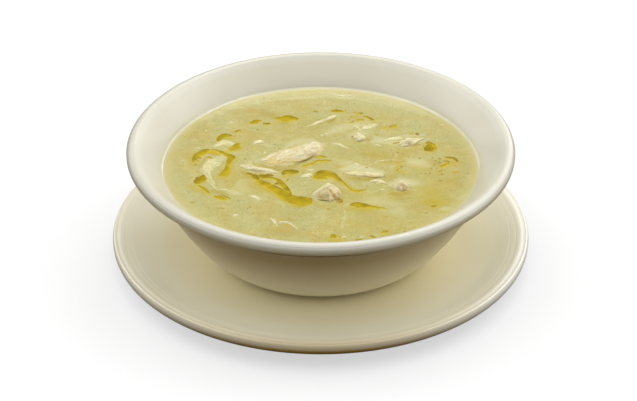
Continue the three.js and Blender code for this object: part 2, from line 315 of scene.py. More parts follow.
def underplate_outline():
    """From the middle of the underside out over the rolled edge and back across the well."""
    low, high = box_mm("underplate")
    bead = np.array([high[0] - PLATE_BEAD_WIDE, high[2] - PLATE_BEAD_TALL])
    under = rounded([(0, PLATE_RECESS), (PLATE_FOOT_INNER - 0.8, PLATE_RECESS), (PLATE_FOOT_INNER, 0),
                     (PLATE_FOOT_OUTER, 0), (PLATE_FOOT_OUTER + 0.8, PLATE_RECESS),
                     (50, PLATE_RECESS + 0.05)], 0.5)
    rim = arc(bead, PLATE_BEAD_WIDE, PLATE_BEAD_TALL, -80, 108, 40)
    inside = rounded([rim[-1], bead + [-1.2, 2.1], bead + [-2.3, 2.13], bead + [-4.2, 1.66],
                      bead + [-4.5, 1.5], bead + [-5.0, 1.46], bead + [-6.8, 1.0], bead + [-7.1, 0.86],
                      bead + [-7.6, 0.82], bead + [-13.8, -0.95]], 0.8)
    well = bend(24, inside[-1], (66, 7), (56, PLATE_WELL_HEIGHT), (PLATE_WELL_RADIUS, PLATE_WELL_HEIGHT))
    skirt = bend(14, under[-1], (64, 2.3), (78, 4.6), rim[0])
    return evenly(np.concatenate([under[:-1], skirt[:-1], rim, inside[1:], well[1:],
                                  [[0, PLATE_WELL_HEIGHT]]]), 3.0)


porcelain = ivory_glazed_porcelain()
underplate_points, underplate_faces = turned(underplate_outline(), TURNED_SIDES)
underplate = make_piece("porcelain_underplate", underplate_points, underplate_faces, porcelain)
from_axis = np.hypot(underplate_points[:, 0], underplate_points[:, 1])
heading = np.arctan2(underplate_points[:, 1], underplate_points[:, 0])
to_front = np.sin(heading) ** 2
rim_middle = underplate_points[:, 2].max() - PLATE_BEAD_TALL
# Painted shade, warm and dark: on the well near the bowl, under the rolled edge, most at the front, and on
# the front of the rolled edge.
rolled_under = (0.25 * ramp(from_axis, 89.5, 91) + 0.65 * ramp(from_axis, 88, 90)
                * ramp(underplate_points[:, 2], rim_middle + 0.4, rim_middle - 1.2))
set_attribute(underplate, "painted_warm_shade", 0.28 * ramp(from_axis, 72, 48)
              + (0.15 + 0.85 * to_front) * rolled_under + 0.22 * to_front * ramp(from_axis, 85, 88))
# Painted light on the well near the bowl.
set_attribute(underplate, "painted_bounce_light", 0.4 * ramp(from_axis, 84, 60))
# Painted highlight on the rolled edge at the sides, strongest at the right.
set_attribute(underplate, "painted_rim_highlight", (0.4 + 0.3 * np.cos(heading)) * (1 - to_front)
              * ramp(from_axis, 88, 89.5))
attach(underplate, "root")
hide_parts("underplate")


# Bowl
# The same ivory porcelain: a footed soup bowl with a thick rolled lip, which the potter's wheel left
# very faintly ringed, and a flared inner wall.

LIP_RADIUS = 2.8
LIP_UNDER_TURN, LIP_INNER_TURN, LIP_STEPS = -110, 130, 96
GROOVE_DEPTH, GROOVE_WIDTH, GROOVE_TURNS = 0.018, 5, (38, -4)
# Heights of the lip's underside and of the band of painted shade at the neck.
LIP_UNDERSIDE, NECK_SHADE_HEIGHT = 51.2, 47.6
BOWL_FOOT_INNER, BOWL_FOOT_OUTER = 35.5, 40.0
BOWL_FOOT_HEIGHT = 1.3
BOWL_RECESS = 2.6
BOWL_FLOOR = 12.0
BEAD_HEIGHT, BEAD_RADIUS = 45.3, 0.45
BROTH_LEVEL = 44.8
BROTH_RADIUS = 69.6
# Heights, and the radius half way through the wall at each
BODY_MIDDLE = ([7, 10, 20, 35, 45, 50, 51.2, 52, 57], [20, 40, 58, 66, 71, 75.6, 78, 81.6, 81.6])


def bowl_inner_wall():
    """From the lip's inner side down past the broth's level to the middle of the floor."""
    low, high = box_mm("bowl")
    lip = (high[0] - LIP_RADIUS, high[2] - LIP_RADIUS)
    start = arc(lip, LIP_RADIUS, LIP_RADIUS, LIP_INNER_TURN, LIP_INNER_TURN, 1)[0]
    slope = math.radians(LIP_INNER_TURN)
    control = start + 4 * np.array([-math.sin(slope), math.cos(slope)])
    edge = (BROTH_RADIUS, BROTH_LEVEL)
    shown = bend(30, start, control, (71.9, 48.8), edge)
    hidden = bend(24, edge, (61.6, 30.9), (57, BOWL_FLOOR + 0.4), (34, BOWL_FLOOR))
    return np.concatenate([shown, hidden[1:], [[0, BOWL_FLOOR]]])


def bowl_outline():
    """From the middle of the underside out, up the belly, over the lip and down inside."""
    low, high = box_mm("bowl")
    lip = (high[0] - LIP_RADIUS, high[2] - LIP_RADIUS)
    bottom = low[2]
    foot = rounded([(0, bottom + BOWL_RECESS), (BOWL_FOOT_INNER - 0.8, bottom + BOWL_RECESS),
                    (BOWL_FOOT_INNER, bottom), (BOWL_FOOT_OUTER, bottom),
                    (BOWL_FOOT_OUTER + 0.5, bottom + BOWL_FOOT_HEIGHT),
                    (45.5, bottom + BOWL_FOOT_HEIGHT - 0.1)], 0.6)
    belly = bend(40, foot[-1], (55, 8.1), (70.6, 34.5), (76.4, 49.2))
    rim = arc(lip, LIP_RADIUS, LIP_RADIUS, LIP_UNDER_TURN, LIP_INNER_TURN, LIP_STEPS)
    turn = np.linspace(LIP_UNDER_TURN, LIP_INNER_TURN, LIP_STEPS + 1)
    grooves = sum(GROOVE_DEPTH * bell(turn, groove, GROOVE_WIDTH) for groove in GROOVE_TURNS)
    rim = lip + (rim - lip) * (1 - grooves[:, None])
    neck = bend(10, belly[-1], (77.2, 51), (79.2, 51.5), rim[0])
    bead_middle = np.interp(BEAD_HEIGHT, belly[:, 1], belly[:, 0]) - 0.1
    bead = arc((bead_middle, BEAD_HEIGHT), BEAD_RADIUS, BEAD_RADIUS, -80, 80, 8)
    below, above = belly[belly[:, 1] < bead[0, 1] - 0.15], belly[belly[:, 1] > bead[-1, 1] + 0.15]
    wall = bowl_inner_wall()
    return evenly(np.concatenate([foot, below[1:], bead, above, neck[1:-1], rim[:-1], wall]), 2.5)


bowl_points, bowl_faces = turned(bowl_outline(), TURNED_SIDES)
bowl = make_piece("porcelain_bowl", bowl_points, bowl_faces, porcelain)
from_axis, tall = np.hypot(bowl_points[:, 0], bowl_points[:, 1]), bowl_points[:, 2]
outside = ramp(from_axis - np.interp(tall, *BODY_MIDDLE), 0, 1.5)
to_side = bowl_points[:, 0] / from_axis.clip(1)
to_right, to_left = to_side.clip(0), (-to_side).clip(0)
# Painted shade: the inside of the bowl is duller than its outside.
set_attribute(bowl, "painted_inside_shade", 1 - outside)
# Painted highlight: the lip's top is lighter.
set_attribute(bowl, "painted_lip_highlight", ramp(tall, 53.6, 55.2))
# Painted shade, warm and dark, on the outside: darker up the belly towards the lip, less on the lip.
set_attribute(bowl, "painted_warm_shade", outside * (1 - 0.65 * ramp(tall, LIP_UNDERSIDE, 53.4))
              * (0.85 * ramp(tall, 10, 40) + 0.15 * (tall > BEAD_HEIGHT + 0.6)))
# Painted light: the lower belly, the lip's lower outer side and the right side under the lip.
set_attribute(bowl, "painted_bounce_light", outside * (
    0.5 * ramp(tall, 18, 9) + 0.15 * bell(tall, 52.4, 1.4) + 0.26 * to_right * ramp(tall, 50, 48)))
# Painted shade, dark brown: at the neck, under the lip (more at the right) and on the lip's outer side at
# the left.
set_attribute(bowl, "painted_crease_shade", outside * (
    0.75 * bell(tall, NECK_SHADE_HEIGHT, 1.3)
    + 0.4 * (1 + to_right) * bell(tall, LIP_UNDERSIDE + 0.4 * to_right, 0.8)
    + 0.2 * to_left * ramp(tall, 53, 54.5)))
set_attribute(bowl, "broth_stain", 0.75 * (1 - outside) * to_side ** 2 * ramp(tall, 47.3, BROTH_LEVEL))
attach(bowl, "root")
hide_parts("bowl")


# Chicken
# Poached breast and thigh, pulled by hand: loaf-shaped pieces of parallel fibres, torn at the ends,
# that float with their upper part out of the broth. Dry tops are cream, wet edges are tan.

CHICKEN = {
    "chicken_large_chunk": dict(
        spine=[(-26, 1.6), (-20, 3.2), (-13.5, 6.8), (-5.2, 12.6), (1, 16)],
        half_width=[3, 5.2, 6.2, 6, 4.4], height=[0.4, 1.1, 2.2, 3.4, 2.9],
        depth=[1.4, 2.4, 3.2, 3.4, 2.6], peak=1.5, bluntness=2.8, lumps=0.11, phase=0.4, lean=1),
    "chicken_long_strip": dict(
        spine=[(-35.6, -0.5), (-27, -4), (-18.2, -6.8)],
        half_width=[1.5, 1.9, 1.1], height=[0.8, 1.1, 0.5],
        depth=[1, 1.3, 1], peak=1.4, bluntness=4, lumps=0.08, phase=2.1, lean=1),
    "chicken_front_chunk": dict(
        spine=[(-4.4, -26.6), (-0.8, -25.8), (3.2, -25), (6.4, -25.4), (8.8, -26.2)],
        half_width=[2, 4.4, 6, 5, 2.6], height=[0.7, 3.1, 5.2, 3.6, 0.9],
        depth=[1.6, 2.8, 3.2, 2.8, 1.8], peak=1.8, bluntness=2.9, lumps=0.05, phase=1.5, lean=1.1),
    "chicken_flat_strip": dict(
        spine=[(10.8, -6.6), (19, -8.1), (27.6, -9.3)],
        half_width=[1.4, 2.1, 2], height=[0.6, 1, 1.5],
        depth=[1, 1.4, 1.4], peak=1.4, bluntness=5, lumps=0.08, phase=5, lean=1.05),
    "chicken_small_wedge": dict(
        spine=[(20.6, -14.6), (24.4, -13.9), (28.4, -15.4)],
        half_width=[1.2, 1.8, 1.2], height=[0.5, 0.9, 0.5],
        depth=[0.9, 1.2, 0.9], peak=1.8, bluntness=2.4, lumps=0.08, phase=1.2, lean=1.1),
    "chicken_right_chunk": dict(
        spine=[(31.2, -20), (34.8, -18.9), (38.6, -19.8)],
        half_width=[1.8, 3.2, 2.2], height=[0.8, 3, 1.1],
        depth=[1.2, 2, 1.2], peak=1.7, bluntness=2.8, lumps=0.06, phase=4.1, lean=1.1),
    "chicken_crooked_piece": dict(
        spine=[(34.4, 17.2), (38.2, 18.5), (42.6, 21.4), (47.4, 23.4)],
        half_width=[1.8, 3, 1.7, 1], height=[1.1, 2.2, 1.2, 0.6],
        depth=[1.2, 2, 1.4, 0.9], peak=1.6, bluntness=2.6, lumps=0.1, phase=0.9, lean=1.05),
    "chicken_short_piece": dict(
        spine=[(16.1, 26.6), (17.2, 23.6), (18, 20.6)],
        half_width=[2.1, 2.7, 2.1], height=[1.2, 1.7, 1.3],
        depth=[1.2, 1.6, 1.2], peak=1.5, bluntness=3.4, lumps=0.08, phase=2.7, lean=1.05),
    "chicken_back_sliver": dict(
        spine=[(-7.4, 33), (0, 38.2), (7, 43.6)],
        half_width=[0.6, 1, 1.4], height=[0.3, 0.7, 1],
        depth=[0.7, 0.9, 1.1], peak=1.4, bluntness=4, lumps=0.06, phase=5.6, lean=1),
    "chicken_left_shred": dict(
        spine=[(-42.6, 3), (-46.4, 2), (-49.4, -2.4), (-48.7, -10.2), (-45, -19)],
        half_width=[3.4, 4.2, 3, 1.1, 0.6], height=[0.2, 0.45, 0.45, 0.3, 0.15],
        depth=[0.9, 1.5, 1.4, 1, 0.7], peak=1, bluntness=2.6, lumps=0.07, phase=1.7),
}


def smooth_path(points, share):
    """A uniform Catmull-Rom curve through the points, and its direction, at shares 0 to 1."""
    points = np.asarray(points, float)
    padded = np.concatenate([[2 * points[0] - points[1]], points, [2 * points[-1] - points[-2]]])
    where = np.clip(np.asarray(share), 0, 1) * (len(points) - 1)
    leg = np.minimum(where.astype(int), len(points) - 2)
    t = (where - leg)[:, None]
    a, b, c, d = (padded[leg + i] for i in range(4))
    slope_b, slope_c = (c - a) / 2, (d - b) / 2
    cubic = 2 * b - 2 * c + slope_b + slope_c
    square = 3 * c - 3 * b - 2 * slope_b - slope_c
    return ((cubic * t + square) * t + slope_b) * t + b, (3 * cubic * t + 2 * square) * t + slope_b


def plane_waves(points, length, seed, count=14):
    """Smooth noise about -1 to 1: the mean of sine waves of about that length in random directions."""
    draw = np.random.default_rng(seed)
    heading = draw.normal(size=(count, points.shape[-1]))
    heading /= np.linalg.norm(heading, axis=1, keepdims=True)
    pace = 2 * np.pi / (length * draw.uniform(0.6, 1.6, count))
    start = draw.uniform(0, 6.3, count)
    return np.sin(points @ (heading * pace[:, None]).T + start).sum(-1) / count ** 0.5


def wavered(x, y, reach):
    """The same places moved up to about reach along each axis by smooth noise 2.4 mm long."""
    flat = np.stack([x, y], -1)
    return x + reach * plane_waves(flat, 2.4, 71), y + reach * plane_waves(flat, 2.4, 72)


def stroke(x, y, path, radii, reach):
    """Signed distance to a brush stroke, less than 0 inside it: the smallest over circles set close
    together on the path of the distance to a circle's centre less its radius. It is large beyond
    reach."""
    course, _ = smooth_path([(*p, r) for p, r in zip(path, radii)], np.linspace(0, 1, 8 * len(path)))
    low, high = course.min(0)[:2] - max(radii) - reach, course.max(0)[:2] + max(radii) + reach
    near = (x > low[0]) & (x < high[0]) & (y > low[1]) & (y < high[1])
    away = np.full(np.shape(x), 1e9)
    away[near] = (np.hypot(x[near] - course[:, 0:1], y[near] - course[:, 1:2]) - course[:, 2:3]).min(0)
    return away


def shading(x, y, strokes):
    """How strongly strokes with soft edges cover each point, 0 to 1."""
    clear = np.ones(np.shape(x))
    for path, radii, softness, strength in strokes:
        cover = np.clip(0.5 - stroke(x, y, path, radii, softness) / (2 * softness), 0, 1)
        clear *= 1 - strength * cover ** 2 * (3 - 2 * cover)
    return 1 - clear


def loaf(spine, half_width, height, depth, bluntness, lumps, phase, around, along, grain, seed,
         peak=1.0, lean=0.85):
    """A loaf-shaped section carried along a spine at the broth's level: across is the half width
    times cos a, up is the height (or below, the depth) times sin a, each to a power, and both shrink
    at the ends as (1 - |2s - 1|^n)^(1/n). Slow waves make it lumpy, fine ones, long along the spine,
    give it the grain of meat, and it splits where another wave crosses 0. How deep each point lies in
    a cleft comes back too."""
    ring = np.arange(1, along)
    share = (1 - np.cos(np.pi * ring / along)) / 2
    middle, run = smooth_path(spine, share)
    size, _ = smooth_path(np.stack([half_width, height, depth], -1), share)
    run /= np.linalg.norm(run, axis=1, keepdims=True)
    turn = 2 * np.pi * np.arange(around) / around
    s, a = share[:, None], turn[None]
    end = (1 - np.abs(2 * s - 1) ** bluntness) ** (1 / bluntness)
    swell = 1 + lumps * (np.sin(2 * a + 9 * s + phase) + np.sin(3 * a - 13 * s + 2 * phase))
    power = np.where(a < np.pi, peak, 0.85)
    across = size[:, 0:1] * end * swell * np.sign(np.cos(a)) * np.abs(np.cos(a)) ** lean
    tall = np.where(a < np.pi, size[:, 1:2], size[:, 2:3]) * end * swell
    rise = tall * np.sign(np.sin(a)) * np.abs(np.sin(a)) ** power
    length = np.linalg.norm(np.diff(middle, axis=0), axis=1).sum()
    girth = np.maximum(size[:, 0:1], 0.3)
    place = np.stack([s * length + 0 * a, girth * np.cos(a), girth * np.sin(a)], -1)
    fibres = plane_waves(place * [0.14, 1, 1], 0.9, seed)
    torn = plane_waves(place * [0.5, 1, 1], 2.4, seed + 50)
    split = np.exp(-(plane_waves(place * [0.4, 1, 1], 1.9, seed + 100) / 0.24) ** 2)
    relief = grain * np.minimum(end, 0.8) * (0.5 * fibres + 1.4 * torn - 1.3 * split)
    across += relief * np.cos(a)
    rise += relief * np.sin(a)
    points = np.stack([middle[:, 0:1] + run[:, 1:2] * across, middle[:, 1:2] - run[:, 0:1] * across,
                       BROTH_LEVEL + rise], -1)
    tips, _ = smooth_path(spine, np.array([0.0, 1.0]))
    tips = np.concatenate([tips, np.full((2, 1), BROTH_LEVEL)], 1)
    clefts = np.concatenate([[0], (split + 0.35 * np.maximum(-fibres - 0.2, 0)).ravel(), [0]])
    return np.concatenate([tips[:1], points.reshape(-1, 3), tips[1:]]), loaf_faces(along, around), clefts


def loaf_faces(along, around):
    """Quads between the rings of a loaf, and triangles from each tip to the ring beside it."""
    index = 1 + np.arange(along - 1)[:, None] * around + np.arange(around)
    beside = np.roll(index, -1, 1)
    walls = np.stack([index[:-1], index[1:], beside[1:], beside[:-1]], -1).reshape(-1, 4)
    return np.concatenate([walls, fan(0, index[0], beside[0]),
                           fan(index[-1, -1] + 1, beside[-1], index[-1])])


def pulled_chicken():
    """Cooked white meat. Out of the broth it is moist cream with fine fibres, with painted shade,
    tan, in the clefts between them; lower down it is wet and tan, and a film of broth covers its
    foot. Light goes a little way in."""
    material, tree = new_material("poached_chicken")
    place = add(tree, "ShaderNodeTexCoord").outputs["Object"]
    mottle = add(tree, "ShaderNodeTexNoise", {"Scale": 900.0, "Detail": 4.0, "Roughness": 0.65},
                 {"Vector": place})
    uneven = add(tree, "ShaderNodeMath", {"operation": "MULTIPLY_ADD", 1: 0.9, 2: -0.45},
                 {0: mottle.outputs["Fac"]})
    soaked, filmed = (add(tree, "ShaderNodeMath", {"operation": "ADD", "use_clamp": True},
                          {0: attribute(tree, name), 1: uneven.outputs[0]}).outputs[0]
                      for name in ("wetness", "broth_film"))
    spotted = add(tree, "ShaderNodeMapRange", {"From Min": 0.38, "From Max": 0.72},
                  {"Value": mottle.outputs["Fac"]})
    colour = between(tree, "#bfb99d", "#ada57a", spotted.outputs[0])
    # The tan in the clefts is painted shade.
    for tint, share in (("#b9b07a", attribute(tree, "yellowness")),
                        ("#a8955f", attribute(tree, "cleft")), ("#a99350", soaked),
                        ("#a0742c", attribute(tree, "cooked_edge")), ("#a69f6b", filmed)):
        colour = tinted(tree, colour, tint, share)
    fine = add(tree, "ShaderNodeTexNoise", {"Scale": 1600.0, "Detail": 3.0}, {"Vector": place})
    relief = add(tree, "ShaderNodeBump", {"Strength": 0.5, "Distance": 0.0002},
                 {"Height": fine.outputs["Fac"]})
    surface = add(tree, "ShaderNodeBsdfPrincipled", {
        "Roughness": 0.42, "IOR": 1.42, "Subsurface Weight": 0.5, "Subsurface Scale": 0.0012,
        "Subsurface Radius": (1.0, 0.85, 0.6)},
        {"Base Color": colour, "Normal": relief.outputs[0]})
    add(tree, "ShaderNodeOutputMaterial", links={"Surface": surface.outputs[0]})
    return material


# Where the meat was browned or is stained by fat, as (path, radii, softness, strength)
COOKED_EDGES = [
    ([(-0.7, -26.6), (-0.6, -28), (0.2, -29.4), (2.1, -30.8)], [0.3, 0.4, 0.5, 0.4], 0.5, 0.6),
    ([(4.2, -27.6), (5.7, -28.6), (7.4, -29.4)], [0.5, 0.8, 1], 0.6, 0.85),
    ([(7.2, -25.2), (8, -27.2)], [0.4, 0.4], 0.5, 0.5),
    ([(1.4, -27.4), (3.1, -26.4)], [0.3, 0.3], 0.5, 0.3),
    ([(-36.2, -2.8), (-35.4, -3.3)], [0.6, 0.6], 0.5, 0.8),
    ([(-33.6, -4.7), (-30.1, -6.5), (-25.7, -7.9)], [0.4, 0.6, 0.5], 0.6, 0.6),
    ([(37, 14.9), (39.2, 15), (41.9, 16.3)], [0.4, 0.6, 0.4], 0.5, 0.6),
    ([(-14.4, 1.1), (-10.9, 3), (-7.4, 2.6)], [0.25, 0.3, 0.25], 0.4, 0.4),
    ([(-7.8, 7.5), (-5.2, 8.2), (-3, 6.4)], [0.25, 0.3, 0.25], 0.4, 0.45),
    ([(-18, 4.7), (-15.3, 6.8)], [0.25, 0.25], 0.4, 0.3),
    ([(35.4, -19.5), (37.4, -21.3)], [0.5, 0.7], 0.6, 0.5),
    ([(18.6, 20.9), (19, 18.2)], [0.4, 0.5], 0.5, 0.5),
    ([(21.5, -10.1), (25.4, -11.3)], [0.4, 0.5], 0.5, 0.4),
]

# How much darker each piece is where it is soaked and up to what share of its height, how yellow it
# is with fat and broth, and how high the film of broth reaches in millimetres
SOAKED = {"chicken_large_chunk": (1, 0.5), "chicken_front_chunk": (0.35, 0.42),
          "chicken_left_shred": (0, 0)}
YELLOWNESS = {"chicken_front_chunk": 0.5, "chicken_right_chunk": 0.4, "chicken_flat_strip": 0.45,
              "chicken_left_shred": 0.6, "chicken_small_wedge": 0.5, "chicken_back_sliver": 0.35}
FILM = {"chicken_large_chunk": 0.6, "chicken_front_chunk": 0.9, "chicken_right_chunk": 0.8,
        "chicken_left_shred": 0.75}

MEAT_GRAIN, MEAT_AROUND, MEAT_ALONG = 0.125, 60, 90

meat = pulled_chicken()
for number, (node, form) in enumerate(CHICKEN.items()):
    finely = 2 if max(form["half_width"]) > 3.5 else 1
    meat_points, meat_faces, clefts = loaf(**form, grain=MEAT_GRAIN, seed=number,
                                           around=MEAT_AROUND * finely, along=MEAT_ALONG * finely)
    piece = make_piece(node.replace("chicken_", "meat_"), meat_points, meat_faces, meat)
    above = meat_points[:, 2] - BROTH_LEVEL
    soaked, up_to = SOAKED.get(node, (0.5, 0.4))
    soaked_share = np.clip((up_to - above / max(form["height"])) / 0.4, -0.7, 1)
    # Painted shade: tan in the clefts between the fibres.
    set_attribute(piece, "cleft", np.clip(0.8 * clefts, 0, 1))
    set_attribute(piece, "wetness", soaked * soaked_share)
    set_attribute(piece, "broth_film", np.clip(1.1 - above / FILM.get(node, 0.5), -0.4, 0.95))
    set_attribute(piece, "cooked_edge", shading(meat_points[:, 0], meat_points[:, 1], COOKED_EDGES))
    set_attribute(piece, "yellowness", np.full(len(meat_points), YELLOWNESS.get(node, 0.15)))
    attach(piece, "root")
    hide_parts(node)


# Broth
# Cloudy stock, nearly opaque, with a wet surface that climbs a little up the wall and up each piece
# of meat. It is milky over the wall, and meat and fat just under the surface tint it; painted
# shadow lies in front of some floating pieces, and the yellow light that comes through each pool
# of oil is painted on it.

MENISCUS, MENISCUS_WIDTH = 0.62, 0.7
MEAT_MENISCUS, MEAT_MENISCUS_WIDTH = 0.12, 0.6
CONTACT_RADIUS = BROTH_RADIUS + 0.35
SURFACE_STEPS = 290

# What tints the broth from just below, as (path, radii, softness, strength), in millimetres
CREAM_BELOW = [
    ([(-31.2, 2.7), (-25.9, 4), (-19.8, 8.7)], [1, 1.8, 2.4], 2, 0.6),
    ([(-15.5, 15.7), (-11, 19.7), (-5.7, 21.4), (0.6, 17.5)], [1, 2, 2.4, 1.6], 1.4, 0.6),
    ([(-49.4, 6.1), (-46.7, 4.4), (-44.1, 6.1), (-42, 10.5)], [1.4, 2.4, 2, 1], 1.4, 0.7),
    ([(9.6, -3.6), (14.3, -2.4), (21.3, -4.2), (26, -6.4)], [1.4, 2.6, 2.4, 1.6], 1.4, 0.8),
    ([(30.9, -16), (34.9, -13.5), (39.6, -16)], [1.4, 2.4, 1.4], 1.4, 0.7),
    ([(34.6, 24.6), (40.1, 26.3), (46.3, 26.8)], [1, 1.6, 1.2], 1.2, 0.5),
    # These two wide soft strokes only lighten the broth towards the back and towards the left.
    ([(-46, 40), (-20, 58), (10, 62), (36, 50), (56, 28)], [6, 8, 9, 8, 5], 10, 0.2),
    ([(-62, 16), (-64, -4), (-56, -26)], [3, 4, 3], 8, 0.2),
    ([(-29.3, 18.9), (-27.8, 20.3), (-26.4, 20.5)], [0.8, 1.5, 1], 0.6, 0.95),
    ([(-26.2, 19.2), (-24.4, 17.8), (-22.1, 16.1)], [0.8, 0.9, 0.5], 1, 0.45),
    ([(-41.2, 37.7), (-40, 37.7)], [0.7, 0.8], 0.6, 0.6),
    ([(-39.2, 36.8), (-36, 33.5)], [0.7, 0.5], 1, 0.35),
    ([(-47.3, 16.2), (-44.8, 18.5), (-42.4, 19.6), (-39.7, 18.2)], [0.9, 1.8, 2.5, 1.6], 0.6, 0.8),
    ([(-39.6, 17.8), (-38, 18.2)], [1.4, 0.8], 0.8, 0.6),
    ([(-55, 14.9), (-54.2, 15)], [0.5, 0.5], 0.4, 0.8),
    ([(1.7, 57.6), (1.7, 54)], [0.5, 0.5], 0.6, 0.6),
    ([(2.7, 49.6), (1.9, 52.2)], [0.5, 0.5], 0.6, 0.35),
    ([(6.4, 63.8), (9.2, 62.1), (12.4, 61.9), (15.1, 63)], [0.8, 1.3, 1.6, 0.8], 0.7, 0.85),
    ([(1.5, 65.3), (6.2, 64.5)], [0.5, 0.8], 1, 0.5),
    ([(0.3, 26), (2.9, 27.8)], [0.5, 0.5], 0.4, 0.8),
    ([(4, 26.9), (5.8, 31.3), (8.1, 32.7), (9.5, 30.3)], [1, 1.8, 1.8, 1.2], 1.8, 0.4),
    ([(19.2, 32.1), (21.6, 33.5), (24.4, 35.5)], [1.3, 2, 1.4], 0.8, 0.75),
    ([(14.4, 36.4), (16.5, 33.2), (18.3, 30.3)], [0.5, 0.6, 0.5], 0.6, 0.55),
    ([(13.5, 32.1), (15.2, 34.1), (19.4, 35.5)], [0.4, 0.5, 0.5], 0.5, 0.6),
    ([(5.6, 19.2), (8.4, 18), (10.5, 16.1), (12.5, 14.3)], [0.6, 0.8, 0.6, 0.3], 0.4, 0.85),
    ([(24.2, 18.4), (26.6, 16.8)], [0.5, 0.4], 0.4, 0.85),
    ([(23, 20.4), (27, 21.4), (31, 20.4), (34.9, 18.8), (37.1, 16.5)], [1, 2, 2.6, 2.4, 1.4], 1.5, 0.65),
    ([(33.2, 9.9), (33.3, 7)], [0.4, 0.3], 0.5, 0.6),
    ([(21.4, 0.6), (25.2, 3.2), (29.7, 4.4), (33.8, 4.9)], [0.3, 0.35, 0.4, 0.3], 0.4, 0.75),
    ([(30.4, -1.4), (32.9, -0.8)], [0.5, 0.4], 0.4, 0.75),
    ([(39, 3.4), (42.6, 2.3), (46.4, 0.6)], [1.6, 2.6, 1.6], 3.2, 0.7),
    ([(54.2, 35.7), (55.4, 35.5)], [0.5, 0.4], 0.5, 0.6),
    ([(52, 21.9), (52.7, 22.1)], [0.5, 0.5], 0.5, 0.6),
    ([(56.2, 16.1), (57.5, 16.2)], [0.5, 0.5], 0.6, 0.5),
    ([(61.8, 12.7), (65.4, 14), (68.1, 14.3)], [0.5, 0.8, 0.5], 1, 0.4),
    ([(59, -28.2), (61.2, -26.4), (63.5, -23.8)], [0.6, 1, 0.6], 1, 0.45),
    ([(-34.9, -14), (-34.4, -17.6), (-33, -21.3)], [1.6, 2.4, 1.6], 1.6, 0.4),
    ([(-43.6, -20.6), (-42.1, -20.4), (-40.4, -20.8)], [0.4, 0.5, 0.3], 0.3, 0.85),
    ([(-40, -21.5), (-37.1, -23.1), (-34.4, -24)], [0.9, 1.5, 1], 1, 0.55),
    ([(-29.9, -25.6), (-28.3, -26.8), (-26.6, -28.4)], [0.8, 1.5, 0.9], 0.6, 0.95),
    ([(-26.3, -27.9), (-24.4, -28.7)], [0.9, 0.5], 1, 0.35),
    ([(-36.6, -41.4), (-36.1, -41.5)], [1, 0.9], 0.4, 0.95),
    ([(-29, -41.9), (-27.6, -41.4)], [0.6, 0.5], 0.9, 0.35),
    ([(-25.5, -32.2), (-22.6, -32.8)], [0.6, 0.6], 1, 0.3),
    ([(-21.3, -44.3), (-19.9, -46.3), (-18.6, -49.8)], [0.5, 0.8, 0.5], 0.4, 0.9),
    ([(-17.8, -47.6), (-16, -46.9), (-14.3, -47.3), (-12.2, -49.3), (-10, -52.2)],
     [0.4, 0.6, 0.6, 0.5, 0.3], 0.4, 0.9),
    ([(-7.6, -9.8), (-5.9, -8.8), (-4.1, -8.1)], [1.2, 1.9, 1], 0.6, 0.85),
    ([(-5.6, -4.7), (-3.7, -4.3)], [0.9, 0.8], 0.5, 0.8),
    ([(11.3, -32.6), (11.7, -32.6)], [0.7, 0.7], 0.4, 0.95),
    ([(10, -37), (10.3, -41.7), (9.4, -46.6), (8.9, -51.2)], [0.4, 0.5, 0.4, 0.5], 0.6, 0.55),
    ([(9.8, 1.5), (13.7, 1.1), (17.7, -1.3)], [2, 2.6, 1.8], 1.6, 0.45),
    ([(14.9, 1.5), (16.2, 0.4), (17.4, -0.7)], [0.3, 0.5, 0.3], 0.3, 0.85),
    ([(35.4, -14.8), (38.8, -14.4), (42.6, -15.4)], [1.4, 2.2, 1.2], 2, 0.5),
    ([(51.2, -36.5), (53.1, -36), (55, -35.2)], [0.8, 1.4, 0.8], 0.9, 0.55),
    ([(6.9, 29.9), (10.5, 33.5), (15.5, 36.2), (21.4, 38)], [1.4, 2.2, 2.4, 1.4], 1.8, 0.5),
    ([(13.1, 24.6), (16.3, 27.2), (20.3, 28.1)], [1.6, 2.4, 1.6], 1.6, 0.55),
    ([(24.3, 24.6), (28.3, 21.9), (31.9, 22.8)], [1, 1.6, 1], 1.6, 0.5),
    ([(16.8, -33.3), (23.3, -29.2), (30.5, -31.7)], [2, 3, 2], 2.5, 0.35),
    ([(25.3, -20.6), (27.3, -20.5)], [0.5, 0.5], 0.5, 0.6),
    ([(18.2, -21.3), (21.3, -22.1), (24.7, -21.5)], [0.4, 0.5, 0.4], 0.8, 0.45),
    ([(31.2, -39.4), (33.4, -37.3), (34.6, -40.6)], [2, 2.6, 1.6], 1.8, 0.35),
    ([(-53.4, -35.4), (-53.9, -38.2)], [0.8, 0.8], 1.2, 0.35),
    ([(-8.4, -48.6), (-1.2, -45.4), (3.9, -42.2)], [0.4, 0.5, 0.4], 0.9, 0.3),
    ([(26.6, 27.6), (28.8, 33.2)], [0.4, 0.4], 0.5, 0.45),
    ([(-51.5, 30.8), (-50.7, 29.9)], [0.5, 0.5], 0.7, 0.3),
    ([(-34.7, 56.8), (-32.5, 57.2)], [0.4, 0.4], 0.5, 0.5),
    ([(-14.1, 59.6), (-9.5, 60.6), (-4, 61.3)], [0.5, 0.6, 0.4], 0.7, 0.5),
]
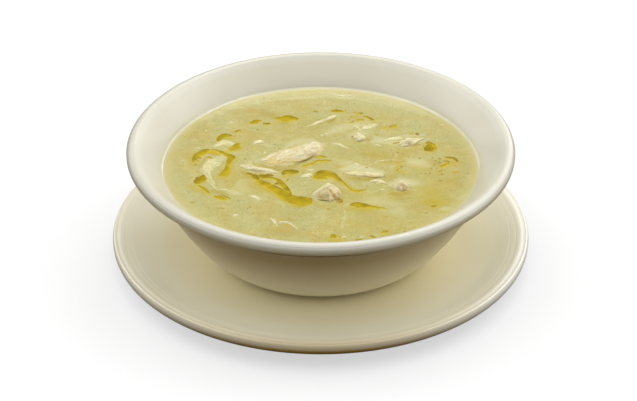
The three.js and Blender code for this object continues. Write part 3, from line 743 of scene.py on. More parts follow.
# Tan from meat just under the surface; the strokes along the front of the flat strip and of the right
# chunk, and those either side of the short piece, are painted shadow of those pieces.
SUNK_MEAT_AND_SHADOW = [
    ([(13.2, -10.9), (17.9, -12), (22.8, -11.1)], [1.2, 1.7, 1.4], 1.6, 0.65),
    ([(31.2, -22.3), (34.6, -23.5), (38.1, -22.5)], [0.8, 1.3, 0.8], 1.2, 0.6),
    ([(12.4, 24.1), (13.6, 25.1)], [0.6, 0.9], 0.8, 0.6),
    ([(20.3, 22.8), (21.6, 21), (22.4, 19.2)], [0.7, 1, 0.6], 0.9, 0.45),
    ([(3.1, 38.5), (4.7, 39.1), (6.3, 40.4)], [0.8, 1.2, 0.7], 0.7, 0.7),
    ([(-26.8, 47.6), (-24, 45.3), (-20.8, 43.5)], [2.4, 3, 1.6], 1.8, 0.6),
    ([(-33.9, 48.1), (-31.2, 48.3)], [1.2, 1.6], 1.2, 0.7),
    ([(2.7, 38.4), (4.7, 39.5), (6.2, 41.7)], [0.7, 1, 0.6], 0.6, 0.8),
    ([(47, 0.6), (49.7, 2.3), (51.8, 1)], [1.8, 2.8, 1.8], 1.6, 0.45),
    ([(39.7, 16.4), (41.5, 16.9), (43.6, 18)], [0.6, 0.9, 0.6], 0.6, 0.75),
    ([(-24.9, -0.8), (-21.4, -2), (-17, -2.9), (-12.6, -1.2), (-8.7, 1.8)],
     [0.9, 1.5, 1.9, 1.8, 1], 1, 0.6),
    ([(-22.2, -4.6), (-17.9, -5), (-13.5, -3.7)], [0.8, 1.2, 0.8], 1.2, 0.3),
    ([(-46.8, -21.3), (-43.5, -23.1), (-40.9, -24.4)], [1.2, 1.6, 1], 1.2, 0.5),
    ([(-44.5, -35.4), (-43.1, -35.6), (-41.5, -36)], [0.4, 0.7, 0.4], 0.5, 0.7),
    ([(-13.3, -44.9), (-11.2, -45.7)], [0.8, 0.7], 0.5, 0.65),
    ([(-20.6, -54.1), (-16.4, -54.6), (-12.2, -54.9)], [2.4, 4, 2.4], 3, 0.45),
    ([(30.3, -23.8), (33.7, -24.6), (37.6, -23.5)], [1, 1.8, 1], 1, 0.7),
    ([(31.6, -28.6), (34.9, -27.9), (38.8, -27.4)], [0.8, 1.5, 0.8], 0.9, 0.55),
    ([(27.9, -42.7), (29.8, -42.8)], [0.8, 0.8], 1, 0.4),
    ([(28, -10.9), (30.6, -11.5), (32.7, -14.3)], [1.4, 2.6, 1.6], 2, 0.45),
    ([(14.5, -10.9), (18.4, -12.1), (24, -12.3)], [0.7, 1.2, 0.9], 0.8, 0.7),
    ([(19.2, 9.9), (21.3, 8.4), (23.6, 9.1)], [1.6, 2.4, 1.4], 1.8, 0.45),
    ([(10.9, 25.3), (13.1, 24.6)], [1, 1], 1.2, 0.4),
    ([(-34.2, -5.9), (-31.8, -8.1), (-28.2, -11.3)], [0.9, 1.4, 1.2], 1, 0.75),
    ([(-25.6, -10.9), (-21.3, -10.6)], [0.9, 0.6], 0.8, 0.6),
    ([(-2.1, -33.3), (1.4, -34.9), (5.6, -34.4)], [0.8, 1.6, 1], 1.4, 0.45),
    ([(13.3, -38.2), (18.4, -41.4), (24.2, -45.4)], [3, 5, 4], 5, 0.28),
    ([(-9.4, 39.9), (-3.9, 34.4), (-0.3, 38)], [3, 5, 3], 5, 0.22),
    ([(6.8, 14), (13.9, 11.3), (21, 14)], [3, 5, 3], 4, 0.25),
    ([(25.4, 11.3), (31.5, 6.1), (36, 11.3)], [3, 4, 3], 4, 0.25),
    ([(-22.5, -39), (-15.7, -42.2), (-8.9, -40.6)], [3, 5, 3], 5, 0.25),
    ([(36.4, -35.7), (40.8, -32.5)], [3, 3], 3.5, 0.25),
    ([(-38.6, 47.2), (-33.9, 41.7), (-29.4, 43.5)], [2, 3, 2], 2.5, 0.3),
    ([(55.3, -13.5), (58.7, -16), (60.7, -10.9)], [2, 3, 2], 3, 0.25),
]
FAT_BELOW = [
    ([(6, -26), (14, -31), (28, -26)], [6, 7, 6], 8, 0.28),
    ([(-40, -6), (-36, -16), (-24, -20)], [4, 5, 4], 7, 0.22),
    ([(46, -4), (52, -14), (48, -28)], [5, 7, 5], 8, 0.3),
    ([(18, 20), (30, 8), (40, 14)], [4, 6, 4], 7, 0.2),
    ([(10, -50), (24, -50), (34, -44)], [4, 5, 4], 7, 0.22),
    ([(-50.7, 11.7), (-48.2, 11.1), (-45.3, 9.3)], [1.4, 1.5, 1], 0.9, 0.95),
    ([(-42.4, 23.1), (-40.8, 23), (-39.1, 22.2)], [0.5, 0.8, 0.4], 0.7, 0.7),
    ([(-40.3, 13.3), (-37.7, 13.4), (-35.9, 15.9)], [0.7, 1.2, 0.8], 1, 0.6),
    ([(-39.6, 3.5), (-40.7, -2.5), (-43.1, -8.4)], [2, 1.8, 2.4], 1.6, 0.45),
    ([(-18, 40), (-16.4, 39.9), (-14.6, 39.7)], [1.3, 1.7, 1], 0.8, 0.95),
    ([(-20.3, 40.8), (-17.5, 37.7), (-13.9, 38)], [0.8, 1, 0.8], 1.2, 0.5),
    ([(-28.2, -15), (-24.6, -18.5), (-21.1, -22.5), (-17.1, -26.6), (-13.2, -30.8), (-9.3, -33.6),
     (-5.9, -32.6)], [0.8, 1.2, 1.3, 1.6, 1.6, 1.6, 1.2], 1.5, 0.8),
    ([(-3.8, -30.8), (-1.6, -32.2)], [1.2, 0.8], 1.4, 0.4),
    ([(-3.1, -6.7), (-2.4, -9.9)], [1, 1.2], 0.8, 0.7),
    ([(6.6, -12.6), (10.5, -16), (13.5, -19.8)], [0.8, 0.6, 0.6], 1.2, 0.5),
    ([(13.7, -35.7), (17.2, -36.4), (21.8, -37)], [0.8, 1, 0.7], 0.9, 0.7),
    ([(46.3, -31.2), (49.8, -31.2)], [1.8, 1.6], 3, 0.6),
    ([(44.6, -21), (49.5, -29.2), (50.9, -35.7)], [5, 6, 4], 5, 0.3),
    ([(55.1, 0.1), (57.8, 1.8), (59.4, -0.8)], [1.8, 2, 1.4], 1.8, 0.45),
    ([(8.6, -2), (10.9, -1.3)], [2, 1.6], 1.6, 0.5),
    ([(-56.7, -17.6), (-54, -21), (-49.6, -23.5)], [1.4, 2.2, 1.6], 2, 0.45),
    ([(-58, 10.5), (-56.8, 4.4), (-54.9, 1)], [1.2, 1.8, 1.6], 1.6, 0.45),
    ([(3, -60.7), (6.3, -61.4), (10.1, -61)], [0.8, 1, 0.8], 1, 0.6),
    ([(13, -61.6), (17.2, -61.9), (23.1, -60.7), (28.2, -56.4)], [0.8, 0.9, 1, 0.9], 1.2, 0.6),
    ([(-8.3, 3), (-3.9, 0.4), (2.3, 1.5)], [1, 1.2, 0.8], 1.2, 0.4),
    ([(-16.9, -9.6), (-12.6, -8.4), (-9.1, -7.1)], [0.7, 0.9, 0.6], 1, 0.5),
    ([(33.1, -0.8), (34.7, -6.4), (37.7, -7.2)], [1.2, 1.8, 1], 1.5, 0.45),
    ([(45.9, 14), (49.3, 11.3), (51.2, 14)], [0.8, 1.2, 0.8], 1.4, 0.4),
    ([(-54.2, -16.8), (-50.8, -14)], [1.6, 1.2], 1.5, 0.45),
    ([(26.7, 31.7), (31.2, 32.1), (34.9, 33.5)], [0.8, 1, 0.8], 1.3, 0.35),
    ([(14.2, 43), (18.7, 38), (23.2, 38.4)], [0.8, 1.4, 0.8], 1.4, 0.4),
]
ORANGE_BELOW = [
    ([(-32.5, 48.7), (-30.5, 49.4)], [0.9, 1.2], 0.6, 0.85),
    ([(-31.6, 51.1), (-31.4, 50)], [0.4, 0.5], 0.4, 0.9),
    ([(-30.4, 46.6), (-26.8, 47.2)], [0.6, 0.5], 1, 0.4),
    ([(8.1, 31.2), (9, 31.4)], [0.8, 0.7], 0.6, 0.7),
    ([(57.9, -6.4), (59.7, -5.7)], [0.9, 0.9], 0.6, 0.8),
    ([(-15.7, -49.2), (-13.9, -49.8), (-12.4, -50.9)], [0.5, 0.7, 0.4], 0.5, 0.75),
    ([(-18.8, -45.7), (-17.3, -44.7)], [0.4, 0.4], 0.5, 0.5),
    ([(-18.5, -51.2), (-16, -53.1), (-13.4, -53.8)], [0.8, 1.2, 0.8], 1.2, 0.4),
    ([(22.4, 8.6), (23.3, 6.5)], [0.6, 0.6], 0.8, 0.45),
    ([(10, 0.4), (11.1, -0.4)], [0.5, 0.5], 0.6, 0.5),
    ([(-7.9, 41.5), (-7.1, 42)], [0.4, 0.4], 0.6, 0.3),
    ([(51.8, -8.2), (52.5, -8.4)], [0.5, 0.5], 0.6, 0.4),
    ([(22, 27.8), (22.7, 25.1)], [0.5, 0.5], 0.8, 0.4),
    ([(16.6, 27.8), (17.4, 29.4)], [0.3, 0.3], 0.5, 0.5),
]


def broth_height(x, y):
    """Height of the broth's top: its level, a climb up the wall that halves every millimetre or so,
    a smaller climb up each piece of meat, and slow waves a few hundredths of a millimetre high."""
    rise = MENISCUS * np.exp(np.minimum(np.hypot(x, y) - CONTACT_RADIUS, 0) / MENISCUS_WIDTH)
    for form in CHICKEN.values():
        away = stroke(x, y, form["spine"], np.asarray(form["half_width"]) * 0.9, 4)
        rise += MEAT_MENISCUS * np.exp(-np.maximum(away, 0) / MEAT_MENISCUS_WIDTH)
    flat = np.stack([x, y], -1)
    return BROTH_LEVEL + rise + 0.03 * plane_waves(flat, 14, 5) + 0.012 * plane_waves(flat, 4, 6)


def disc(steps, radius):
    """A square grid bent into a disc: the point (a, b) of the square goes to the circle of radius
    max(|a|, |b|), at an angle that grows evenly along the square's side. The circles crowd towards
    the rim, where a circle that was at share r comes to 1 - (1 - r)^1.12."""
    a, b = np.meshgrid(*[np.linspace(-1, 1, steps + 1)] * 2, indexing="ij")
    wide = np.abs(a) > np.abs(b)
    r = np.where(wide, a, b)
    r = np.sign(r) * (1 - (1 - np.abs(r)) ** 1.12)
    safe_a, safe_b = np.where(a == 0, 1, a), np.where(b == 0, 1, b)
    angle = np.where(wide, np.pi / 4 * b / safe_a, np.pi / 2 - np.pi / 4 * a / safe_b)
    return radius * r * np.cos(angle), radius * r * np.sin(angle)


def broth_body():
    """The top as a bent square grid, and under it the same rim carried down the bowl's inner wall in
    shrinking rings to one point."""
    x, y = disc(SURFACE_STEPS, BROTH_RADIUS + 0.6)
    top = np.stack([x, y, broth_height(x, y)], -1)
    n = SURFACE_STEPS + 1
    index = np.arange(n * n).reshape(n, n)
    quads = np.stack([index[:-1, :-1], index[1:, :-1], index[1:, 1:], index[:-1, 1:]], -1).reshape(-1, 4)
    rim = np.concatenate([index[:-1, 0], index[-1, :-1], index[:0:-1, -1], index[0, :0:-1]])
    rim_points = top.reshape(-1, 3)[rim]
    wall = bowl_inner_wall()
    wall = wall[wall[:, 1] < BROTH_LEVEL - 1][::3]
    turn = np.arctan2(rim_points[:, 1], rim_points[:, 0])
    rings = [np.stack([(r - 0.3) * np.cos(turn), (r - 0.3) * np.sin(turn), 0 * turn + z + 0.3], -1)
             for r, z in wall if r > 1]
    points = np.concatenate([top.reshape(-1, 3), *rings, [[0, 0, wall[-1, 1] + 0.3]]])
    loops = np.concatenate([[rim], n * n + np.arange(len(rings) * len(rim)).reshape(len(rings), -1)])
    beside = np.roll(loops, -1, 1)
    walls = np.stack([loops[:-1], loops[1:], beside[1:], beside[:-1]], -1).reshape(-1, 4)
    return points, np.concatenate([quads, walls, fan(len(points) - 1, beside[-1], loops[-1])])


def cloudy_broth():
    """Chicken stock clouded by fat and flour: pale yellow-green, nearly opaque and wet. The eye sees
    drifting greenish and tan clouds, a fine grain, a milky edge and a weak mirror of the studio."""
    material, tree = new_material("cloudy_broth")
    place = add(tree, "ShaderNodeTexCoord").outputs["Object"]
    drift = add(tree, "ShaderNodeTexNoise", {"Scale": 60.0, "Detail": 3.0, "Distortion": 0.6},
                {"Vector": place})
    clouds = add(tree, "ShaderNodeTexNoise", {"Scale": 300.0, "Detail": 5.0, "Roughness": 0.6},
                 {"Vector": place})
    grain = add(tree, "ShaderNodeTexNoise", {"Scale": 1300.0, "Detail": 2.0}, {"Vector": place})
    contrast = add(tree, "ShaderNodeMapRange", {"From Min": 0.35, "From Max": 0.65},
                   {"Value": drift.outputs["Fac"]})
    colour = between(tree, "#9d9967", "#a2955a", contrast.outputs[0])
    patches = add(tree, "ShaderNodeMapRange", {"From Min": 0.42, "From Max": 0.68, "To Max": 0.6},
                  {"Value": clouds.outputs["Fac"]})
    colour = tinted(tree, colour, "#aea774", patches.outputs[0])
    grit = add(tree, "ShaderNodeMapRange", {"From Min": 0.54, "From Max": 0.74, "To Max": 0.7},
               {"Value": grain.outputs["Fac"]})
    colour = tinted(tree, colour, "#827a40", grit.outputs[0])
    # The sunk-meat layer also carries painted shadow, and the oil layer is painted light: the yellow that
    # comes through each pool of oil.
    for name, tint in (("sunk_meat_and_shadow", "#948540"), ("fat_below", "#9f8d20"),
                       ("orange_below", "#aa883e"), ("cream_below", "#b2ad86"),
                       ("painted_oil_caustic", "#ab9b2c"), ("milky_edge", "#b1a874"), ("thin_edge", "#aeaa92")):
        colour = tinted(tree, colour, tint, attribute(tree, name))
    surface = add(tree, "ShaderNodeBsdfPrincipled", {
        "Roughness": 0.1, "IOR": 1.5, "Subsurface Weight": 0.25, "Subsurface Scale": 0.0012,
        "Subsurface Radius": (1.0, 0.9, 0.5)}, {"Base Color": colour})
    add(tree, "ShaderNodeOutputMaterial", links={"Surface": surface.outputs[0]})
    return material


broth_points, broth_faces = broth_body()
broth = make_piece("cloudy_broth", broth_points, broth_faces, cloudy_broth())
spot_x, spot_y = wavered(broth_points[:, 0], broth_points[:, 1], 0.18)
for name, strokes in (("cream_below", CREAM_BELOW), ("sunk_meat_and_shadow", SUNK_MEAT_AND_SHADOW), ("fat_below", FAT_BELOW),
                      ("orange_below", ORANGE_BELOW)):
    set_attribute(broth, name, shading(spot_x, spot_y, strokes))
from_wall = CONTACT_RADIUS - np.hypot(broth_points[:, 0], broth_points[:, 1])
set_attribute(broth, "milky_edge", np.clip(1.1 - from_wall / 6, 0, 1) ** 1.2)
set_attribute(broth, "thin_edge", np.clip(1.05 - from_wall / 2.2, 0, 1))
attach(broth, "root")
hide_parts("broth")


# Crumbs and fibres of meat
# Scraps of the pulled meat that float flat in the broth, some pale and dry on top, some yellow.

SCRAP_GRAIN, SCRAP_AROUND, SCRAP_ALONG = 0.06, 20, 30

# Path, half widths, height and yellowness of each scrap
MEAT_CRUMBS = [
    ([(-25.9, 3.2), (-22.4, 6.5), (-18.5, 9.8), (-15, 13.1)], [0.8, 1.8, 2.3, 1.5], 0.9, 0.25),
    ([(28.3, 21.4), (31, 22.4), (34.1, 23.3), (36.4, 23.7)], [0.6, 1.3, 1.5, 0.7], 0.5, 0.5),
    ([(-29.5, 18.9), (-27.8, 20.3), (-26.4, 20.5)], [0.6, 1.4, 0.8], 0.7, 0.1),
    ([(-47.3, 16.2), (-44.8, 18.5), (-42.4, 19.6), (-39.7, 18.2)], [0.6, 1.6, 2.2, 1.2], 0.4, 0.7),
    ([(6.4, 63.6), (9.2, 62.1), (12.4, 62.1), (14.9, 62.8)], [0.5, 1, 1.3, 0.6], 0.4, 0.4),
    ([(19.2, 32.1), (21.6, 33.5), (24.4, 35.5)], [1, 1.7, 0.9], 0.5, 0.3),
    ([(5.6, 19.2), (8.4, 18), (10.5, 16.1), (12.5, 14.3)], [0.4, 0.75, 0.6, 0.25], 0.4, 0.3),
    ([(0.3, 26), (2.9, 27.8)], [0.4, 0.45], 0.4, 0.1),
    ([(-29.9, -25.6), (-28.3, -26.8), (-26.6, -28.4)], [0.6, 1.3, 0.7], 0.4, 0),
    ([(-7.6, -9.8), (-5.9, -8.8), (-4.1, -8.1)], [0.9, 1.7, 0.9], 0.8, 0.2),
    ([(-21.3, -44.3), (-19.9, -46.3), (-18.6, -49.8)], [0.35, 0.65, 0.4], 0.5, 0),
    ([(-17.8, -47.6), (-16, -46.9), (-14.3, -47.3), (-12.2, -49.3), (-10, -52.2)],
     [0.3, 0.5, 0.55, 0.4, 0.25], 0.5, 0.1),
    ([(-36.7, -41.4), (-36, -41.5)], [0.75, 0.7], 0.5, 0),
    ([(11.2, -32.6), (11.8, -32.6)], [0.55, 0.5], 0.4, 0),
    ([(-43.6, -20.6), (-42.1, -20.4), (-40.4, -20.8)], [0.2, 0.4, 0.2], 0.3, 0.2),
    ([(14.9, 1.5), (16.2, 0.4), (17.4, -0.7)], [0.2, 0.4, 0.2], 0.3, 0.2),
    ([(24.2, 18.4), (26.6, 16.8)], [0.4, 0.3], 0.3, 0.1),
    ([(-5.6, -4.7), (-3.7, -4.3)], [0.7, 0.6], 0.5, 0.4),
    ([(-55, 14.9), (-54.2, 15)], [0.4, 0.4], 0.3, 0),
    ([(21.4, 0.6), (25.2, 3.2), (29.7, 4.4), (33.8, 4.9)], [0.15, 0.22, 0.25, 0.15], 0.15, 0.3),
    ([(25.3, -20.6), (27.3, -20.5)], [0.4, 0.35], 0.25, 0.3),
    ([(-41.2, 37.7), (-40, 37.7)], [0.5, 0.6], 0.3, 0.2),
    ([(14.4, 36.4), (16.5, 33.2), (18.3, 30.3)], [0.3, 0.45, 0.3], 0.25, 0.3),
    ([(30.4, -1.4), (32.9, -0.8)], [0.35, 0.3], 0.2, 0.2),
    ([(52, 21.9), (52.7, 22.1)], [0.4, 0.4], 0.25, 0.2),
    ([(54.3, 35.7), (55.3, 35.5)], [0.4, 0.35], 0.2, 0.3),
    ([(14.9, 23.8), (16, 25.1)], [0.4, 0.5], 0.3, 0.1),
    ([(56.4, 16.1), (57.4, 16.2)], [0.4, 0.4], 0.2, 0.5),
    ([(-25.6, 10.1), (-24.3, 11.3)], [0.3, 0.3], 0.2, 0.2),
    ([(-51.9, 29.9), (-51.2, 30.3)], [0.35, 0.3], 0.2, 0.4),
    ([(8.9, -58.2), (10.5, -58.6)], [0.5, 0.4], 0.2, 0.4),
    ([(16.4, -58.5), (18.1, -58.8)], [0.5, 0.4], 0.2, 0.2),
]


def joined(parts):
    """Several (points, faces) pairs as one."""
    points, faces, count = [], [], 0
    for more_points, more_faces in parts:
        points.append(more_points)
        faces.append(np.where(more_faces < 0, -1, more_faces + count))
        count += len(more_points)
    return np.concatenate(points), np.concatenate(faces)


def floating(path, radii, height, seed, around, along, grain=0.0, bluntness=2.6, waver=-0.2):
    """A low loaf that rides on the broth's surface and wavers in outline. It reaches past both ends
    of its path by most of the half width there."""
    path = np.array(path, float)
    out = np.stack([path[0] - path[1], path[-1] - path[-2]])
    path[[0, -1]] += 0.75 * out / np.linalg.norm(out, axis=1, keepdims=True) * [[radii[0]], [radii[-1]]]
    tall = [min(height, 0.9 * r + 0.05) for r in radii]
    points, faces, _ = loaf(path, radii, tall, [0.5 * h + 0.1 for h in tall], bluntness, lumps=0.05,
                            phase=seed, around=around, along=along, grain=grain, seed=seed)
    points[:, 0], points[:, 1] = wavered(points[:, 0], points[:, 1], waver)
    points[:, 2] += broth_height(points[:, 0], points[:, 1]) - BROTH_LEVEL
    return points, faces


def scrap_film(points):
    """How much broth covers a scrap: all of it where its tips are, less towards its top."""
    tips, top = points[[0, -1], 2].mean(), points[:, 2].max()
    return 1.15 - (points[:, 2] - tips) / (0.75 * (top - tips))


scraps = [floating(path, radii, 0.6 * height, number, SCRAP_AROUND, SCRAP_ALONG, grain=SCRAP_GRAIN)
          for number, (path, radii, height, _) in enumerate(MEAT_CRUMBS)]
crumbs = make_piece("meat_crumbs", *joined(scraps), meat)
set_attribute(crumbs, "yellowness", np.repeat([yellow for *_, yellow in MEAT_CRUMBS],
                                              [len(points) for points, _ in scraps]))
set_attribute(crumbs, "wetness", np.full(sum(len(points) for points, _ in scraps), 0.1))
set_attribute(crumbs, "broth_film", np.concatenate([scrap_film(points) for points, _ in scraps]))
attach(crumbs, "root")


# Oil
# Chicken fat that has gathered in thin pools, streaks and eyes on the surface: clear and wet. The
# olive along the back of each pool and the bright yellow along its front, where light comes
# through it, are painted light, and so is the yellow it throws on the broth in front.

OIL_HEIGHT, EYE_HEIGHT = 0.09, 0.1
POOL_AROUND, POOL_ALONG = 24, 40
DROP_SIDES = 14
# How the painted yellow light that comes through each pool lies on the broth in front of it: shift, share
# of the pool's width, softness and strength.
GLOW_SHIFT, GLOW_SHARE, GLOW_SOFTNESS, GLOW_STRENGTH = 0.8, 0.9, 1.4, 0.7

# Path, half widths and tone (0 olive, 1 yellow, less than 0 browned) of each pool
OIL_POOLS = [
    ([(-45.7, 21.4), (-45.1, 23.8), (-43.8, 25.6), (-42.5, 26.2), (-41.1, 26.1), (-40, 25.4)],
     [0.8, 1.5, 1.9, 1.8, 1.3, 0.7], 0.25),
    ([(-38.1, 29.4), (-37.2, 30.2), (-36.1, 30.5)], [0.7, 1.1, 0.6], 0.15),
    ([(-31.8, 37.1), (-30.4, 37.9), (-28.9, 38.8), (-27.5, 39.3)], [0.8, 1.5, 1.5, 0.8], 0.2),
    ([(-25.9, 36.4), (-24.4, 36.7), (-22.6, 36.4)], [0.5, 0.9, 0.4], 0),
    ([(-20.7, 41.4), (-18.9, 41.7), (-16.9, 41.5), (-14.8, 41.7), (-12.8, 41.5), (-11, 41.1)],
     [0.6, 1.2, 2.2, 2.6, 2.2, 1.2], 0.25),
    ([(-49.9, 13.5), (-51.4, 12.4), (-52.9, 10.6), (-54.3, 8.6), (-55.3, 6.3), (-56.1, 3.5)],
     [0.9, 1.7, 2, 2, 1.6, 0.8], 0.4),
    ([(-50.6, 6.6), (-49.4, 6.8), (-48.1, 6)], [0.5, 0.8, 0.4], 0.1),
    ([(-48.1, 13.4), (-45.8, 12.2), (-43.8, 10.8), (-41.7, 9.2), (-39.9, 7.6), (-39.4, 6),
     (-40.3, 3.1), (-40.8, -0.3), (-41.1, -3.3), (-41.6, -5.9), (-42.2, -7.9), (-43.6, -8.4)],
     [0.9, 1.2, 1.2, 1.4, 1.9, 2, 1.3, 1.1, 1.3, 2, 2.2, 1.5], 0.35),
    ([(-40.3, 13.5), (-38.8, 15), (-37.5, 16.4), (-36.7, 18.8)], [0.8, 1.6, 1.8, 1], 0.45),
    ([(-53.4, -14.3), (-52.8, -12.8), (-51.6, -10.9), (-50.4, -9.1)], [1.9, 2.5, 2.3, 1.3], 0.15),
    ([(-53.1, -17.2), (-51.9, -18.5), (-50.6, -20.1), (-49.6, -21.4), (-48.7, -23), (-48, -24.7)],
     [0.6, 1, 1.1, 0.9, 0.8, 0.5], 0.45),
    ([(-46, -25.8), (-44.3, -26.9), (-42.5, -27.7), (-40.8, -28.4)], [0.5, 1.4, 1.5, 0.7], 0.3),
    ([(-43.5, -25.1), (-41.9, -25.9), (-40.6, -27), (-39.3, -28.1)], [0.3, 0.7, 0.8, 0.5], 0.4),
    ([(-27.8, -12.2), (-25.1, -15.1), (-22, -18.1), (-18.9, -21), (-16.1, -24.5), (-13.7, -27.6),
     (-11.1, -29.3), (-8.5, -29.9), (-6.2, -29.9)],
     [1.2, 2, 2.2, 2.5, 3, 3.1, 3.4, 4.2, 3.4], 0.35),
    ([(-27, -10.1), (-24.3, -10.4), (-21.3, -10.9), (-18.2, -13.1), (-16, -17.6), (-13.5, -24)],
     [1, 1, 0.9, 1.1, 1.4, 1.6], 0.2),
    ([(-19.5, -15.8), (-18.7, -15.1)], [0.9, 0.8], 0.1),
    ([(-16.1, -7.4), (-14.8, -6), (-13.3, -5.7), (-11.7, -5.4), (-10.5, -5.5)],
     [1.3, 2.1, 2, 2, 1.2], 0.1),
    ([(-1.4, -9.7), (-0.1, -8.8), (1.4, -8), (3.4, -8), (5.3, -9.3), (7.3, -11.4), (9.4, -14.3),
     (11.4, -17.6), (13.1, -20.4), (15.2, -21.6), (17.4, -21.5), (19.6, -20.3)],
     [2.6, 4.2, 4.2, 3, 2, 1.3, 0.8, 0.5, 0.7, 1.2, 1, 0.6], 0.3),
    ([(12.9, -33.3), (14.2, -33), (15.9, -33.1), (18.1, -33.6), (20.6, -34.3), (23.2, -34.9),
     (25.7, -35.6), (27.8, -36)], [0.7, 1.8, 2.1, 1.9, 1.4, 1, 0.8, 0.5], 0.25),
    ([(-2.2, 7.3), (-0.1, 7.8), (2.4, 6.9)], [0.4, 0.9, 0.4], 0.3),
    ([(-4.3, 2.5), (0, 4), (4.5, 3.9)], [0.4, 0.9, 0.5], 0.2),
    ([(-8, -1), (-5.6, 0.3), (-2.4, 2.2)], [0.6, 1, 0.5], 0.3),
    ([(5.4, 48.2), (7.8, 48.3), (10.6, 47.3)], [0.9, 1.4, 0.5], 0.2),
    ([(16.6, 45.5), (18.1, 46.4), (19.4, 45.8)], [0.5, 0.7, 0.4], 0.1),
    ([(16.5, 39.7), (18.1, 40.4), (19, 39.9)], [0.5, 0.9, 0.4], 0.3),
    ([(20, 43.7), (21.7, 42.4), (23.5, 40.2)], [0.5, 0.8, 0.9], 0.1),
    ([(13.1, 37.7), (15, 38.4)], [0.4, 0.6], 0.4),
    ([(31, 33.6), (32.5, 34.3), (34.2, 35)], [0.5, 1, 0.7], 0.3),
    ([(32.6, 19.2), (34.8, 19.6)], [0.6, 0.6], 0),
    ([(48.1, 13.5), (48.6, 14.8), (49.1, 16.3), (49.2, 17.9)], [2.2, 3, 2.8, 1.8], 0.15),
    ([(47.6, 19.2), (48.5, 19.5), (49.4, 19.2)], [0.9, 1.1, 0.7], 0.1),
    ([(54.8, 6.6), (57.3, 6.6), (59.3, 5.3), (60.1, 3.4)], [0.5, 1, 1, 0.6], 0.1),
    ([(53.2, -1.3), (54.4, -0.1), (56.2, 1.1)], [0.9, 1.2, 0.7], 0.5),
    ([(54.4, 3.7), (55.9, 3.2), (57, 2.8)], [0.4, 0.8, 0.3], 0),
    ([(51.8, -5.5), (53.1, -5)], [0.7, 0.5], 0.1),
    ([(34, 1.6), (35.5, 2.7), (37.1, 3.9)], [0.4, 0.5, 0.3], 0.5),
    ([(5.3, -57.7), (5.3, -58.6)], [1.5, 1.4], 0.3),
    ([(26.1, -55), (27.7, -54.4)], [1, 1.1], 0.35),
    ([(21.4, -58.2), (22.5, -58.8)], [0.9, 0.7], 0.3),
    ([(14.5, -60.9), (17.1, -60.7)], [0.5, 0.6], 0.2),
    ([(47.5, -34.4), (49.5, -34.2)], [0.8, 0.7], 0.3),
    ([(7, -28.7), (8, -30), (8.7, -30.8)], [0.9, 1.7, 1], -0.3),
    ([(-32.1, -6.7), (-31.2, -7.2), (-30.4, -7.7)], [0.7, 0.9, 0.7], -0.25),
    ([(-29.8, -8.6), (-28.8, -9.8), (-28, -11.3)], [1.1, 1.7, 1.2], 0),
    ([(-26.5, -8.8), (-25.4, -9.2), (-24.3, -9.4)], [1, 1.4, 1.1], -0.3),
    ([(-23.6, -8.4), (-22.4, -8.7), (-21.1, -8.8)], [0.9, 1.1, 0.7], -0.35),
    ([(40.3, 27.8), (41.4, 27.8)], [0.6, 0.7], 0.7),
    ([(28.3, 32.6), (30.2, 33.5)], [0.4, 0.5], 0.6),
    ([(-35.7, 14.8), (-40.9, 11.9), (-43.7, 12.6)], [0.3, 0.5, 0.3], 0.6),
    ([(-8.9, -4.5), (-6.8, -4.2)], [0.4, 0.5], 0.4),
    ([(4.6, -58), (6.1, -58.1)], [0.8, 0.7], 0.5),
    ([(8.2, -58.6), (8.9, -58.7)], [0.5, 0.4], 0.5),
]
